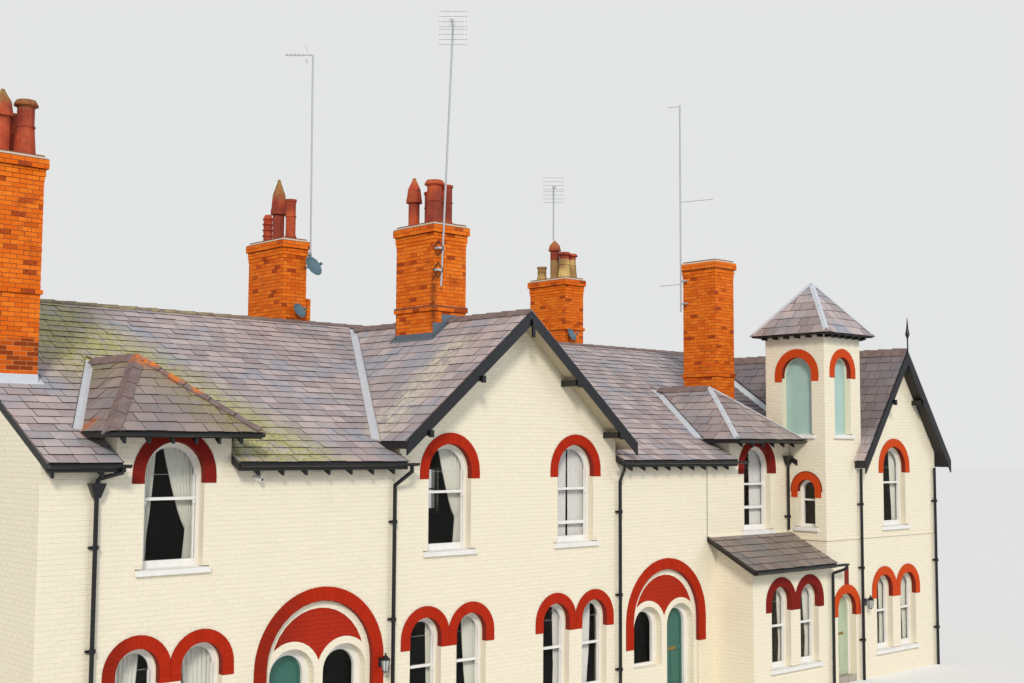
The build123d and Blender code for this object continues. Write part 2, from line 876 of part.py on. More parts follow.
tile_lines = [
    strip((left_end, ridge_y), (right_end + verge, ridge_y), tile_half),
    strip((0, gable_front), (0, gable_ridge_end), tile_half),
    strip((wing_x, wing_front), (wing_x, wing_ridge_end), tile_half),
    strip((left_middle, dormer_hip_y), (left_middle, dormer_ridge_end), tile_half),
    strip((right_middle, dormer_hip_y), (right_middle, dormer_ridge_end), tile_half),
    strip((left_middle, dormer_hip_y), (left_dormer_roof[0], dormer_front), hip_tile_half),
    strip((left_middle, dormer_hip_y), (left_dormer_roof[1], dormer_front), hip_tile_half),
    strip((right_middle, dormer_hip_y), (right_dormer_roof[1], dormer_front), hip_tile_half),
]
tile_plan = tile_lines[0]
for line in tile_lines[1:]:
    tile_plan += line
ridge_tiles = skin(roof_hull, tile_thick) & tile_plan

lead_lines = [strip((right_middle, dormer_hip_y), (right_dormer_roof[0], dormer_front), hip_tile_half)]
for side in (-1, 1):
    lead_lines.append(strip(*valley(0, gable_half_roof, gable_apex, gable_rise, side), lead_half))
    lead_lines.append(strip(*valley(wing_x, wing_half_roof, wing_apex, wing_rise, side), lead_half))
    for middle in (left_middle, right_middle):
        lead_lines.append(strip(*valley(middle, dormer_half, dormer_apex_z, dormer_rise, side), lead_half))
for x, y, foot, top, _ in chimneys.values():
    lead_lines.append(block((x[0] - apron, x[1] + apron), (y[0] - apron, y[1] + apron), (foot, top)))
lead_plan = lead_lines[0]
for line in lead_lines[1:]:
    lead_plan += line
roof_leads = (skin(roof_hull, lead_thick) & lead_plan) - tile_plan

clear = block((turret_left - 80, turret_right), (bay_face, turret_back), (0, 9000))
clear += block((left_end - 1000, left_end), (0, depth), (0, 11000))
for stack in stacks:
    clear += stack
save("ridge_tiles", ridge_tiles - clear)

turret_hips = []
for side_x in (-1, 1):
    for side_y in (-1, 1):
        corner_x = turret_x + side_x * (turret_half_x + turret_eave)
        corner_y = turret_y + side_y * (turret_half_y + turret_eave)
        turret_hips.append(strip((turret_x, turret_y), (corner_x, corner_y), 60))
hip_plan = turret_hips[0] + turret_hips[1] + turret_hips[2] + turret_hips[3]
hip_plan += block((turret_x - 90, turret_x + 90), (turret_y - 90, turret_y + 90), (8000, 11000))
save("roof_leads", roof_leads - clear, skin(turret_outer, lead_thick) & hip_plan)


# Bargeboards, with the purlin ends that carry them

def bargeboards(centre, half, apex, rise, front, wall_face, board, purlins):
    """Sloping boards under a verge, fixed to the purlin ends that come through the wall."""
    foot = apex - rise * half
    outline = [
        (centre - half, foot),
        (centre, apex),
        (centre + half, foot),
        (centre + half, foot - board),
        (centre, apex - board),
        (centre - half, foot - board),
    ]
    shape = along_y(outline, (front - 35, front))
    for out, drop in purlins:
        z = apex - rise * out - drop
        for x in (centre - out, centre + out):
            shape += block((x - 55, x + 55), (front - 1, wall_face), (z - 130, z))
            shape += block((x - 45, x + 45), (front - 90, front - 34), (z - 160, z - 20))
    return shape


gable_purlins = ((1350, 220), (2650, 220))
gable_boards = bargeboards(0, gable_half_roof, gable_apex, gable_rise, gable_front, 0, 260, gable_purlins)
pendant = block((-35, 35), (gable_front - 85, gable_front - 34), (8030, 8400))
gable_boards += pendant

wing_purlins = ((730, 300),)
wing_boards = bargeboards(wing_x, wing_half_roof, wing_apex, wing_rise, wing_front, bay_face, 330, wing_purlins)
spike_y = wing_front - 18
spike = [(18, -100), (18, 330), (60, 450), (30, 600), (8, 890)]
wing_boards += turned(spike, wing_x, spike_y, wing_apex, 8)
save("bargeboards", gable_boards, wing_boards)


# Chimneys

def chimney(x, y, foot, top, band):
    """A brick stack with an oversailing cap, its sloped mortar top, and a band."""
    shape = block(x, y, (foot, top))
    cap_x = (x[0] - cap_out, x[1] + cap_out)
    cap_y = (y[0] - cap_out, y[1] + cap_out)
    shape += block(cap_x, cap_y, (top - cap_height, top - cap_slope))
    middle = ((x[0] + x[1]) / 2, (y[0] + y[1]) / 2)
    half = ((x[1] - x[0]) / 2, (y[1] - y[0]) / 2)
    shape += faceted([
        level_box(*middle, half[0] + cap_out, half[1] + cap_out, top - cap_slope),
        level_box(*middle, half[0] - 30, half[1] - 30, top),
    ])
    if band:
        band_z = (band - band_height, band)
        shape += block((x[0] - band_out, x[1] + band_out), (y[0] - band_out, y[1] + band_out), band_z)
    return shape


stack_shapes = {name: chimney(*sizes) for name, sizes in chimneys.items()}
stack_shapes["rear_left"] += stub
save("chimneys", *stack_shapes.values())


def plain_pot(height, radius, flare=25):
    """A straight pot with a foot, a bead half-way up and a lip."""
    return [
        (radius + flare, 0), (radius + flare, 60), (radius, 120), (radius, height * 0.55),
        (radius + 18, height * 0.57), (radius, height * 0.61),
        (radius, height - 70), (radius + 20, height - 50), (radius + 20, height),
    ]


def ringed_pot(height, radius):
    """A short pot with three raised rings and a low lid."""
    points = [(radius, 0)]
    for i in range(3):
        z = height * (0.22 + 0.2 * i)
        points += [(radius, z), (radius + 30, z + 25), (radius, z + 60)]
    return points + [(radius, height * 0.8), (radius + 25, height * 0.84), (radius * 0.7, height)]


def cowled_pot(height, radius, cowl):
    """A pot under a tall pointed cowl, whose skirt stands out from it."""
    shaft = height - cowl
    return [
        (radius + 10, 0), (radius, 60), (radius, shaft), (radius + 60, shaft - 10), (radius + 50, shaft + 40),
        (radius + 15, shaft + cowl * 0.55), (20, height),
    ]


def lidded_pot(height, radius):
    """A pot with a dark round lid held clear of its mouth."""
    return [
        (radius + 45, 0), (radius + 35, 90), (radius + 5, height * 0.5), (radius + 25, height * 0.53),
        (radius, height * 0.57), (radius, height * 0.88), (radius + 60, height * 0.9),
        (radius + 60, height * 0.93), (radius + 20, height),
    ]


pot_rows = {
    "left_party": [
        (-9250, 2750, lidded_pot(1000, 150)), (-9650, 2800, cowled_pot(1150, 140, 480)),
        (-9250, 3300, plain_pot(850, 140)), (-9650, 3300, plain_pot(850, 140)),
    ],
    "gable": [
        (-290, 3080, cowled_pot(1110, 125, 560)), (-130, 2560, lidded_pot(1000, 165)),
        (190, 2560, plain_pot(930, 150)), (190, 3080, plain_pot(850, 140)),
    ],
    "rear_left": [
        (-1380, 7400, ringed_pot(700, 110)), (-1400, 6900, cowled_pot(1500, 140, 850)),
        (-1330, 6480, plain_pot(960, 120)),
    ],
    "rear_right": [
        (8640, 8180, plain_pot(400, 130)), (8700, 7700, cowled_pot(1150, 130, 300)),
        (8720, 7320, lidded_pot(760, 150)), (9020, 7320, lidded_pot(740, 130)),
    ],
}
pots = []
for name, row in pot_rows.items():
    top = chimneys[name][3]
    pots += [turned(profile, x, y, top) for x, y, profile in row]
save("chimney_pots", *pots)


# Rainwater goods

def gutter(x, y, z):
    """A half-round gutter along x with closed ends, open on top; y is at its back."""
    middle = y - gutter_radius
    outer = [(middle - yy, z - zz) for yy, zz in half_round(gutter_radius, 8)]
    inner = [(middle - yy, z - zz) for yy, zz in half_round(gutter_radius - gutter_wall, 8)]
    return along_x(outer, x) - along_x(inner, (x[0] + gutter_wall, x[1] - gutter_wall))


main_gutter_z = eave_z - 20
dormer_gutter_z = dormer_eave_z - 20
lean_to_gutter_z = lean_to_top + lean_to_rise * lean_to_front - 20
gutters = [
    gutter((left_end, -8600), -eave_out, main_gutter_z),
    gutter((-6600, -gable_half_wall + 200), -eave_out, main_gutter_z),
    gutter((gable_half_wall - 200, 7350), -eave_out, main_gutter_z),
    gutter(left_dormer_roof, dormer_front, dormer_gutter_z),
    gutter(right_dormer_roof, dormer_front, dormer_gutter_z),
    gutter((lean_to_verge, 9900), lean_to_front, lean_to_gutter_z),
    gutter((left_end, right_end + verge), back_eave_y + 2 * gutter_radius, main_gutter_z),
]
save("gutters", *gutters)


def pipe(points, radius=pipe_radius, sides=8):
    """A round pipe bent through its points."""
    path = Polyline(*points)
    section = Plane(path @ 0, z_dir=path % 0) * RegularPolygon(radius, sides)
    return sweep(section, path=path, transition=Transition.RIGHT)


def hopper(x, y, top):
    """A tapered rainwater head."""
    return faceted([level_box(x, y, 55, 40, top - 230), level_box(x, y, 130, 75, top)])


def swan_neck(x, gutter_x, y_back, gutter_z, foot=0):
    """A downpipe that steps back from a gutter's outlet to the wall."""
    y_out = y_back - gutter_radius
    y_wall = -pipe_radius - 45
    return pipe([
        (gutter_x, y_out, gutter_z - gutter_radius), (gutter_x, y_out, gutter_z - 160),
        (x, y_wall, gutter_z - 420), (x, y_wall, foot),
    ])


wall_pipe_y = -pipe_radius - 45
bay_pipe_y = bay_face + wall_pipe_y
downpipes = [
    pipe([(-9050, wall_pipe_y, 5100), (-9050, wall_pipe_y, 0)]) + hopper(-9050, wall_pipe_y, 5200),
    swan_neck(-3170, -2950, -eave_out, main_gutter_z),
    swan_neck(3060, 2950, -eave_out, main_gutter_z),
    pipe([(9330, wall_pipe_y, 5500), (9330, wall_pipe_y, 3760)]) + hopper(9330, wall_pipe_y, 5620),
    pipe([(9620, bay_pipe_y, 2700), (9620, bay_pipe_y, 0)]),
    pipe([(10950, bay_pipe_y, 5300), (10950, bay_pipe_y, 0)]),
    pipe([(14600, bay_pipe_y, 5300), (14600, bay_pipe_y, 0)]),
    pipe([(-9000, depth - wall_pipe_y, 5300), (-9000, depth - wall_pipe_y, 0)]),
    pipe([(14300, depth - wall_pipe_y, 5300), (14300, depth - wall_pipe_y, 0)]),
]
save("downpipes", *downpipes)


# Aerials and dishes on the stacks

aerial_turn = radians(42.7)
across = (cos(aerial_turn), -sin(aerial_turn))
ahead = (-sin(aerial_turn), -cos(aerial_turn))
mast_radius = 22
rod_radius = 6


def moved(start, sideways=0, forwards=0, up=0):
    """A point a distance from another, in the directions that the aerials are turned to."""
    return (
        start[0] + across[0] * sideways + ahead[0] * forwards,
        start[1] + across[1] * sideways + ahead[1] * forwards,
        start[2] + up,
    )


def rod(start, end, radius=rod_radius):
    return pipe([start, end], radius, 4)


def grid_aerial(top):
    """An aerial seen end-on: a boom with short rods in front of two barred reflectors."""
    shape = rod(moved(top, forwards=-30), moved(top, forwards=650), 12)
    for i in range(5):
        point = moved(top, forwards=150 + 110 * i)
        shape += rod(moved(point, sideways=-60), moved(point, sideways=60))
    for up in (1, -1):
        for side in (-260, 260):
            shape += rod(moved(top, sideways=side, up=up * 20), moved(top, sideways=side, up=up * 390))
        for i in range(4):
            point = moved(top, up=up * (30 + 115 * i))
            shape += rod(moved(point, sideways=-310), moved(point, sideways=310))
    spine = rod(moved(top, up=-400), moved(top, up=400))
    return shape + spine


def side_aerial(top):
    """An aerial seen from the side: a boom to the left with rods across it and a V reflector."""
    shape = rod(moved(top, sideways=20), moved(top, sideways=-660), 12)
    for i in range(5):
        point = moved(top, sideways=-240 - 95 * i)
        shape += rod(moved(point, forwards=-140), moved(point, forwards=140))
    knee = moved(top, sideways=-90)
    for up in (1, -1):
        shape += rod(knee, moved(knee, sideways=-110, up=up * 270))
        tip = moved(knee, sideways=-60, up=up * 150)
        shape += rod(moved(tip, forwards=-180), moved(tip, forwards=180))
    return shape


def dish(place, radius):
    """A shallow bowl on an arm, tilted up and turned to one side."""
    bowl = [(0.25 * radius, 0), (0.7 * radius, 0.1 * radius), (radius, 0.28 * radius)]
    shape = turned(bowl, 0, 0, 0) - turned(bowl, 0, 0, 12)
    shape += rod((0, -0.9 * radius, 0.2 * radius), (0, -0.25 * radius, 1.1 * radius), 8)
    shape += Pos(0, -0.25 * radius, 1.1 * radius) * Box(50, 50, 60)
    return Pos(*place) * Rot(0, 0, 14) * Rot(65, 0, 0) * shape


gable_mast_top = (-106, 2000, 15050)
rear_left_mast_top = (-1040, 6100, 15150)
rear_right_mast_top = (8645, 7700, 13450)
front_right_mast_top = (8358, 2580, 14990)


def mast(foot, top):
    return pipe([foot, top], mast_radius, 8)


gable_mast = mast((-379, 2000, 9270), gable_mast_top) + grid_aerial(gable_mast_top)
rear_left_mast = mast((-1006, 6100, 10260), rear_left_mast_top) + side_aerial(rear_left_mast_top)
rear_right_mast = mast((8645, 7700, 11935), rear_right_mast_top) + grid_aerial(rear_right_mast_top)
front_right_mast = mast((8358, 2580, 9400), front_right_mast_top)
for up, side in ((-40, -320), (-2640, 870), (-4850, -560)):
    arm = moved(front_right_mast_top, up=up)
    front_right_mast += rod(arm, moved(arm, sideways=side, up=side * 0.1), 9)

# Brackets hold each mast off its stack
gable_mast += block((-500, -330), (1980, 2100), (9600, 9640))
gable_mast += block((-480, -300), (1980, 2100), (10080, 10120))
rear_left_mast += block((-1040, -980), (6090, 6200), (10300, 10330))
rear_left_mast += block((-1045, -985), (6090, 6200), (10360, 10390))
front_right_mast += block((8350, 8450), (2400, 2600), (9600, 9640))
front_right_mast += block((8350, 8450), (2400, 2600), (10200, 10240))

dishes = [
    dish((-1000, 6050, 10020), 260)
    + rod((-1000, 6190, 10020), (-1000, 6040, 10020), 15)
    + block((-1120, -985), (6180, 6200), (10005, 10035)),
    dish((-1330, 6090, 8950), 190) + rod((-1330, 6200, 8950), (-1330, 6080, 8950), 15),
    dish((8560, 6890, 9050), 200) + rod((8560, 7000, 9050), (8560, 6880, 9050), 15),
]
save("aerials_and_dishes", gable_mast, rear_left_mast, rear_right_mast, front_right_mast, *dishes)
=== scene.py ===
"""Looks of a pair of arched brick houses with a turreted end house, dressed over their CAD frame."""

import math
import random

import bmesh
import bpy
from bpy.props import FloatProperty, FloatVectorProperty, IntProperty, PointerProperty
from mathutils import Matrix, Vector
from mathutils.bvhtree import BVHTree


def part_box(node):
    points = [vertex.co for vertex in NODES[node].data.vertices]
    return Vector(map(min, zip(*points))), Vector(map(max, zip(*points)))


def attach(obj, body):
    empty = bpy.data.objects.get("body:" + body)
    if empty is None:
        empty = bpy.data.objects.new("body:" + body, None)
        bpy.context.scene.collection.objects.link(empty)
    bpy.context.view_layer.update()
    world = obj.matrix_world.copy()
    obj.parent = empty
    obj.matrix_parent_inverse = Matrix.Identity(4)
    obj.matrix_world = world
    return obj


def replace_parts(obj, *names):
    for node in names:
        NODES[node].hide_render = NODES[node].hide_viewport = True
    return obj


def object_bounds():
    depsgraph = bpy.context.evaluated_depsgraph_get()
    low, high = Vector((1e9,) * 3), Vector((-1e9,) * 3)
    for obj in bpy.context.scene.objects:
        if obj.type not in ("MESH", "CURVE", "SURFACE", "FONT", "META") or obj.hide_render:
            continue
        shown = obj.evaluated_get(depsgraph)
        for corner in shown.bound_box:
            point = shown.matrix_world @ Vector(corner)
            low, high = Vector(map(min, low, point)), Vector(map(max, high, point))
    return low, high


bl_info = {
    "name": "Arched Brick Houses",
    "version": (1, 0, 0),
    "blender": (4, 5, 0),
    "location": "3D View > Sidebar > Houses",
    "description": "Slates, brickwork, joinery and fittings for a row of arched brick houses",
    "category": "Object",
}

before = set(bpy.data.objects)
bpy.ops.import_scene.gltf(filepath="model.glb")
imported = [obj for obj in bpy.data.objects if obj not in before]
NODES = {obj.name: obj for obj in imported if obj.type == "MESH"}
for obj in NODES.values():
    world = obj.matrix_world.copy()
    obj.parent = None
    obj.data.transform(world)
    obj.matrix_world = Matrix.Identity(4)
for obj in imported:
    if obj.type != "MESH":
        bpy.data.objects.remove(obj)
HOUSE = "houses"


def plain_bounds():
    """The whole object's box as plain lists of numbers."""
    return [[float(c) for c in corner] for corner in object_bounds()]


CAD_BOX = plain_bounds()


def linear(hex_colour):
    """An sRGB hex colour as linear red, green and blue."""
    channels = [int(hex_colour[i:i + 2], 16) / 255 for i in (1, 3, 5)]
    return tuple(c / 12.92 if c <= 0.04045 else ((c + 0.055) / 1.055) ** 2.4 for c in channels)


# Places that follow the frame, in metres

LEFT_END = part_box("party_wall_left")[0].x
RIGHT_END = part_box("end_wall_right")[1].x
MAIN_LOW, MAIN_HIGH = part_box("main_roof_front")
EAVE_Y = MAIN_LOW.y
RIDGE_Y = MAIN_HIGH.y
RIDGE_Z = MAIN_HIGH.z
MAIN_RIGHT = MAIN_HIGH.x
MAIN_RISE = math.tan(math.radians(26.9))
EAVE_Z = RIDGE_Z - MAIN_RISE * (RIDGE_Y - EAVE_Y)
GABLE_LOW, GABLE_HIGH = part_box("gable_roof")
GABLE_RISE = math.tan(math.radians(39.75))
GABLE_HALF = 3.2
WING_LOW, WING_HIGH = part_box("wing_roof")
WING_RISE = 1.36
WING_HALF = 2.13
WING_X = WING_HIGH.x - WING_HALF
BAY_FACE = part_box("wing_wall")[0].y
TURRET_LOW, TURRET_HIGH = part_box("turret_walls")
LEAN_LOW, LEAN_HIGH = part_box("lean_to_roof")
TURRET_ROOF_LOW, TURRET_ROOF_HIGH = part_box("turret_roof")
TURRET_BASE = TURRET_ROOF_LOW.z + 0.04
DORMERS = ((-9.02, -6.30), (6.76, 9.48))
DORMER_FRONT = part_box("half_dormer_roofs")[0].y
DORMER_EAVE = 6.02
DORMER_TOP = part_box("half_dormer_roofs")[1].z
DORMER_HIP_Y = 1.45
COURSE = 0.0825
REAR_EAVE_Y = 2 * RIDGE_Y - EAVE_Y

# Openings: their places, and half-widths, sills, springs of the arches and meeting rails

DORMER_WINDOWS = (-7.66, 8.15)
GABLE_WINDOWS = (-1.75, 1.75)
LEFT_WINDOWS = ((DORMER_WINDOWS[0], 0), (GABLE_WINDOWS[0], 0), (GABLE_WINDOWS[1], 0))
WING_WINDOW = (12.67, BAY_FACE)
UPPER_WINDOWS = (*LEFT_WINDOWS, (DORMER_WINDOWS[1], 0), WING_WINDOW)
UPPER_HALF, UPPER_SILL, UPPER_SPRING, UPPER_RAIL = 0.54, 3.81, 5.32, 4.905
TWIN_WINDOWS = (*LEFT_WINDOWS, (DORMER_WINDOWS[1], BAY_FACE), WING_WINDOW)
TWIN_HALF, TWIN_SILL, TWIN_SPRING, TWIN_RAIL = 0.38, 0.66, 2.17, 1.60
TWIN_APART = 0.575
TWIN_LIGHTS = [(x + side * TWIN_APART, y, side) for x, y in TWIN_WINDOWS for side in (-1, 1)]
ENTRANCES = (-4.71, 4.71)
ENTRANCE_HALF, ENTRANCE_SPRING = 0.468, 1.77
ENTRANCE_APART = 0.56
RING, UPPER_LEG, TWIN_LEG = 0.22, 0.14, 0.20

# Chimney stacks: left and right, front and back, top, and the head of the band

STACKS = {
    "left_party": ((-9.93, -9.03), (2.40, 3.70), 10.83, 8.45),
    "gable": ((-0.50, 0.41), (2.10, 3.42), 10.70, 8.86),
    "rear_left": ((-1.70, -1.05), (6.20, 7.70), 10.69, None),
    "rear_right": ((8.45, 9.19), (7.00, 8.48), 10.78, 9.30),
    "front_right": ((8.45, 9.21), (1.50, 2.57), 10.73, 7.75),
}
SHOULDER = ((-1.05, -0.82), (6.35, 7.0), 9.30, None)


# Roof planes: the height of each over the plan

def main_front(x, y):
    """Height of the main roof's front slope."""
    return EAVE_Z + MAIN_RISE * (y - EAVE_Y)


def main_rear(x, y):
    """Height of the main roof's rear slope."""
    return EAVE_Z + MAIN_RISE * (REAR_EAVE_Y - y)


def ridged(centre, top, rise, side):
    """Height of one slope of a ridged roof whose ridge runs from front to back."""
    return lambda x, y: top - rise * side * (x - centre)


def dormer_slopes(x):
    """The left, right and front slopes of a half-dormer's roof."""
    middle = (x[0] + x[1]) / 2
    rise = (DORMER_TOP - DORMER_EAVE) / ((x[1] - x[0]) / 2)
    front_rise = (DORMER_TOP - DORMER_EAVE) / (DORMER_HIP_Y - DORMER_FRONT)
    return (
        ridged(middle, DORMER_TOP, rise, -1),
        ridged(middle, DORMER_TOP, rise, 1),
        lambda a, b: DORMER_EAVE + front_rise * (b - DORMER_FRONT),
    )


def roof_height(x, y):
    """Height of the outermost slates over a point of the plan."""
    heights = [min(main_front(x, y), main_rear(x, y))]
    if y < RIDGE_Y:
        heights.append(GABLE_HIGH.z - GABLE_RISE * abs(x))
        heights.append(WING_HIGH.z - WING_RISE * abs(x - WING_X))
        for span in DORMERS:
            heights.append(min(slope(x, y) for slope in dormer_slopes(span)))
    return max(heights)


def main_y(z):
    """Where the main front slope reaches a height."""
    return (z - EAVE_Z) / MAIN_RISE + EAVE_Y


def length(name, description, default, least):
    """A length for the panel, in metres."""
    return FloatProperty(name=name, description=description, default=default, min=least, unit="LENGTH")


def paint(name, description, hex_colour):
    """A colour for the panel."""
    colour = linear(hex_colour)
    return FloatVectorProperty(name=name, description=description, subtype="COLOR", default=colour)


class RowSizes(bpy.types.PropertyGroup):
    """Sizes of the repeated pieces."""
    slate_gauge: length("Slate gauge", "Height of a course up the slope", 0.27, 0.1)
    slate_width: length("Slate width", "Mean width of a slate", 0.34, 0.1)
    slate_thickness: length("Slate thickness", "Thickness at the tail", 0.014, 0.004)
    brick_length: length("Brick length", "Length of a brick and its joint", 0.235, 0.1)
    tile_length: length("Ridge tile", "Length of a ridge tile", 0.45, 0.2)
    rafter_spacing: length("Rafter spacing", "Distance between rafter feet", 0.42, 0.2)
    pleats: IntProperty(name="Curtain pleats", description="Pleats in one curtain", default=7, min=2)
    seed: IntProperty(name="Seed", description="Start of the random variation", default=7)


class RowColours(bpy.types.PropertyGroup):
    """Colours of the main finishes."""
    cream: paint("Cream paint", "Masonry paint on the walls", "#EFE7D0")
    red: paint("Red paint", "Masonry paint on the arches", "#AE2709")
    brick: paint("Brick", "Bare brick of the chimneys", "#F27A14")
    slate: paint("Slate", "Roof slates", "#B9AAA8")
    lead: paint("Lead", "Weathered lead sheet", "#CDD5DC")
    black: paint("Black paint", "Gloss on timber and iron", "#131518")
    white: paint("White paint", "Gloss on window frames", "#EEEDE8")
    teal: paint("Teal paint", "Gloss on the front doors", "#33695D")


# Node graphs

def add_node(tree, kind, inputs=(), output=0, **settings):
    """Adds a node whose inputs are sockets or values, and gives one of its outputs, or with None the node."""
    node = tree.nodes.new(kind)
    for name, value in settings.items():
        setattr(node, name, value)
    for socket, value in inputs.items() if isinstance(inputs, dict) else enumerate(inputs):
        if isinstance(value, bpy.types.NodeSocket):
            tree.links.new(value, node.inputs[socket])
        else:
            node.inputs[socket].default_value = value
    return node if output is None else node.outputs[output]


def rgba(colour, scale=1.0):
    """A colour with alpha, from sRGB hex or from linear values, made lighter or darker by a scale."""
    values = linear(colour) if isinstance(colour, str) else colour
    return tuple(min(1.0, c * scale) for c in values) + (1.0,)


class Coat:
    """A material in the making: its nodes, and the colour and relief that it has so far."""

    def __init__(self, name, roughness, metallic=0.0, ior=1.5):
        self.material = bpy.data.materials.new(name)
        self.material.use_nodes = True
        self.tree = self.material.node_tree
        self.shader = self.tree.nodes["Principled BSDF"]
        self.place = self.node("ShaderNodeTexCoord", output="Object")
        self.body = self.relief = None
        for socket, value in (("Roughness", roughness), ("Metallic", metallic), ("IOR", ior)):
            self.shader.inputs[socket].default_value = value

    def node(self, kind, inputs=(), output=0, **settings):
        """Adds a node to this material."""
        return add_node(self.tree, kind, inputs, output, **settings)

    def noise(self, scale, detail=4.0, roughness=0.55, place=None):
        """Soft cloudy noise of a scale in waves per metre."""
        inputs = {"Vector": place or self.place, "Scale": scale, "Detail": detail, "Roughness": roughness}
        return self.node("ShaderNodeTexNoise", inputs, "Fac")

    def ramp(self, source, low, high):
        """From 0 to 1 between two values of a source."""
        return self.node("ShaderNodeMapRange", (source, low, high))

    def patches(self, scale, detail, roughness, low, high):
        """Cloudy patches, from 0 to 1 between two values of a noise."""
        return self.ramp(self.noise(scale, detail, roughness), low, high)

    def axis(self, index, source=None):
        """One coordinate of the place, or of another vector."""
        return self.node("ShaderNodeSeparateXYZ", (source or self.place,), index)

    def along(self, index, low, high):
        """From 0 to 1 between two places along an axis."""
        return self.ramp(self.axis(index), low, high)

    def near(self, point, low, high, place=None):
        """From 0 to 1 between two distances from a point."""
        inputs = (place or self.place, point)
        return self.ramp(self.node("ShaderNodeVectorMath", inputs, "Value", operation="DISTANCE"), low, high)

    def band(self, a, b, inner, outer):
        """A soft stripe along the upright plane through two plan points, between two half-widths."""
        across = Vector((b[1] - a[1], a[0] - b[0], 0)).normalized()
        side = self.node("ShaderNodeVectorMath", (self.place, across), "Value", operation="DOT_PRODUCT")
        shift = self.node("ShaderNodeMath", (side, across.dot(Vector((*a, 0)))), operation="SUBTRACT")
        return self.ramp(self.node("ShaderNodeMath", (shift,), operation="ABSOLUTE"), outer, inner)

    def times(self, product, *factors):
        """The product of sockets and numbers."""
        for factor in factors:
            product = self.node("ShaderNodeMath", (product, factor), operation="MULTIPLY")
        return product

    def tone(self):
        """The shade painted on each slate or brick."""
        return self.node("ShaderNodeAttribute", output="Fac", attribute_name="tone")

    def up_facing(self, low, high):
        """How far a face looks up, from 0 to 1 between two values of its normal."""
        return self.ramp(self.axis(2, self.node("ShaderNodeNewGeometry", output="Normal")), low, high)

    def stretched(self, scale):
        """The place with its height scaled."""
        return self.node("ShaderNodeMapping", {"Vector": self.place, "Scale": (1.0, 1.0, scale)})

    def courses(self, place, length=0.235, height=COURSE, joint=0.009, smooth=0.5, offset=0.5):
        """Brick courses of a real size; gives the random tone of each brick and the joints."""
        black, white, grey = (0, 0, 0, 1), (1, 1, 1, 1), (0.5, 0.5, 0.5, 1)
        inputs = {
            "Vector": place, "Color1": black, "Color2": white, "Mortar": grey, "Scale": 1.0,
            "Mortar Size": joint, "Mortar Smooth": smooth, "Brick Width": length, "Row Height": height}
        return self.node("ShaderNodeTexBrick", inputs, None, offset=offset).outputs[:2]

    def mix(self, factor, a, b):
        """A mix of two colours, each a socket, a value or sRGB hex."""
        a, b = (rgba(c) if isinstance(c, str) else c for c in (a, b))
        return self.node("ShaderNodeMix", {0: factor, 6: a, 7: b}, 2, data_type="RGBA")

    def over(self, factor, colour):
        """Lays a colour over the body."""
        self.body = self.mix(factor, self.body, colour)

    def bump(self, height, distance, strength):
        """Lays relief over the relief so far."""
        inputs = {"Height": height, "Distance": distance, "Strength": strength}
        if self.relief:
            inputs["Normal"] = self.relief
        self.relief = self.node("ShaderNodeBump", inputs)

    def done(self):
        """Joins the colour and the relief to the shader, and gives the material."""
        for source, socket in ((self.body, "Base Color"), (self.relief, "Normal")):
            if source:
                self.tree.links.new(source, self.shader.inputs[socket])
        return self.material


# Materials

def masonry_paint(name, colour, joint_shade=None):
    """Masonry paint brushed over laid brick, or over its joints: matt and a little uneven."""
    coat = Coat(name, 0.72, ior=1.3)
    shade = joint_shade or 1.0
    tone = coat.noise(6.0) if joint_shade else coat.tone()
    coat.body = coat.mix(tone, rgba(colour, 0.975 * shade), rgba(colour, 1.005 * shade))
    weather(coat, rgba(colour, 0.94 * shade), rgba(colour, 0.97 * shade))
    coat.bump(coat.noise(9.0, 6, 0.6, coat.stretched(2.2)), 0.014, 0.5)
    return coat.done()


def weather(coat, stain, grime):
    """Large stains and small grime on masonry paint."""
    coat.over(coat.patches(0.9, 6, 0.7, 0.52, 0.78), stain)
    coat.over(coat.patches(9.0, 5, 0.7, 0.62, 0.72), grime)


def left_shade(coat):
    """Painted shade: darker red over the left side of each arch of the left house."""
    for start, end in ((-4.9, -5.6), (-8.2, -8.6)):
        coat.over(coat.times(coat.along(0, start, end), coat.along(0, end - 0.9, end - 0.6), 0.45), "#5E1A10")


def painted_brick(name, colour, joint_shade, dirt):
    """Masonry paint over brick: matt, with the courses showing softly through it."""
    coat = Coat(name, 0.72, ior=1.3)
    normal = coat.axis(0, coat.node("ShaderNodeNewGeometry", output="True Normal"))
    size = coat.node("ShaderNodeMath", (normal,), operation="ABSOLUTE")
    side = coat.node("ShaderNodeMath", (size, 0.7), operation="GREATER_THAN")
    along = coat.node("ShaderNodeMix", {0: side, 2: coat.axis(0), 3: coat.axis(1)}, data_type="FLOAT")
    wall = coat.node("ShaderNodeCombineXYZ", (along, coat.axis(2)))
    wavy = coat.node("ShaderNodeTexNoise", {"Vector": coat.place, "Scale": 3.0, "Detail": 3.0}, "Color")
    wavy = coat.node("ShaderNodeVectorMath", (wavy, (0.05, 0.05, 0.05)), operation="MULTIPLY")
    bent = coat.node("ShaderNodeVectorMath", (wall, wavy), operation="ADD")
    tone, joints = coat.courses(bent, joint=0.012, smooth=0.9)
    coat.body = coat.mix(tone, rgba(colour, 0.985), rgba(colour, 1.01))
    coat.over(joints, rgba(colour, joint_shade))
    weather(coat, rgba(colour, dirt), rgba(colour, (dirt + 1) / 2))
    # The red gets painted shade on the left side of the left house's arches.
    if name.endswith("red"):
        left_shade(coat)
    coat.bump(coat.node("ShaderNodeMath", (1.0, joints), operation="SUBTRACT"), 0.005, 0.6)
    coat.bump(coat.noise(9.0, 6, 0.6, coat.stretched(2.2)), 0.016, 0.55)
    return coat.done()


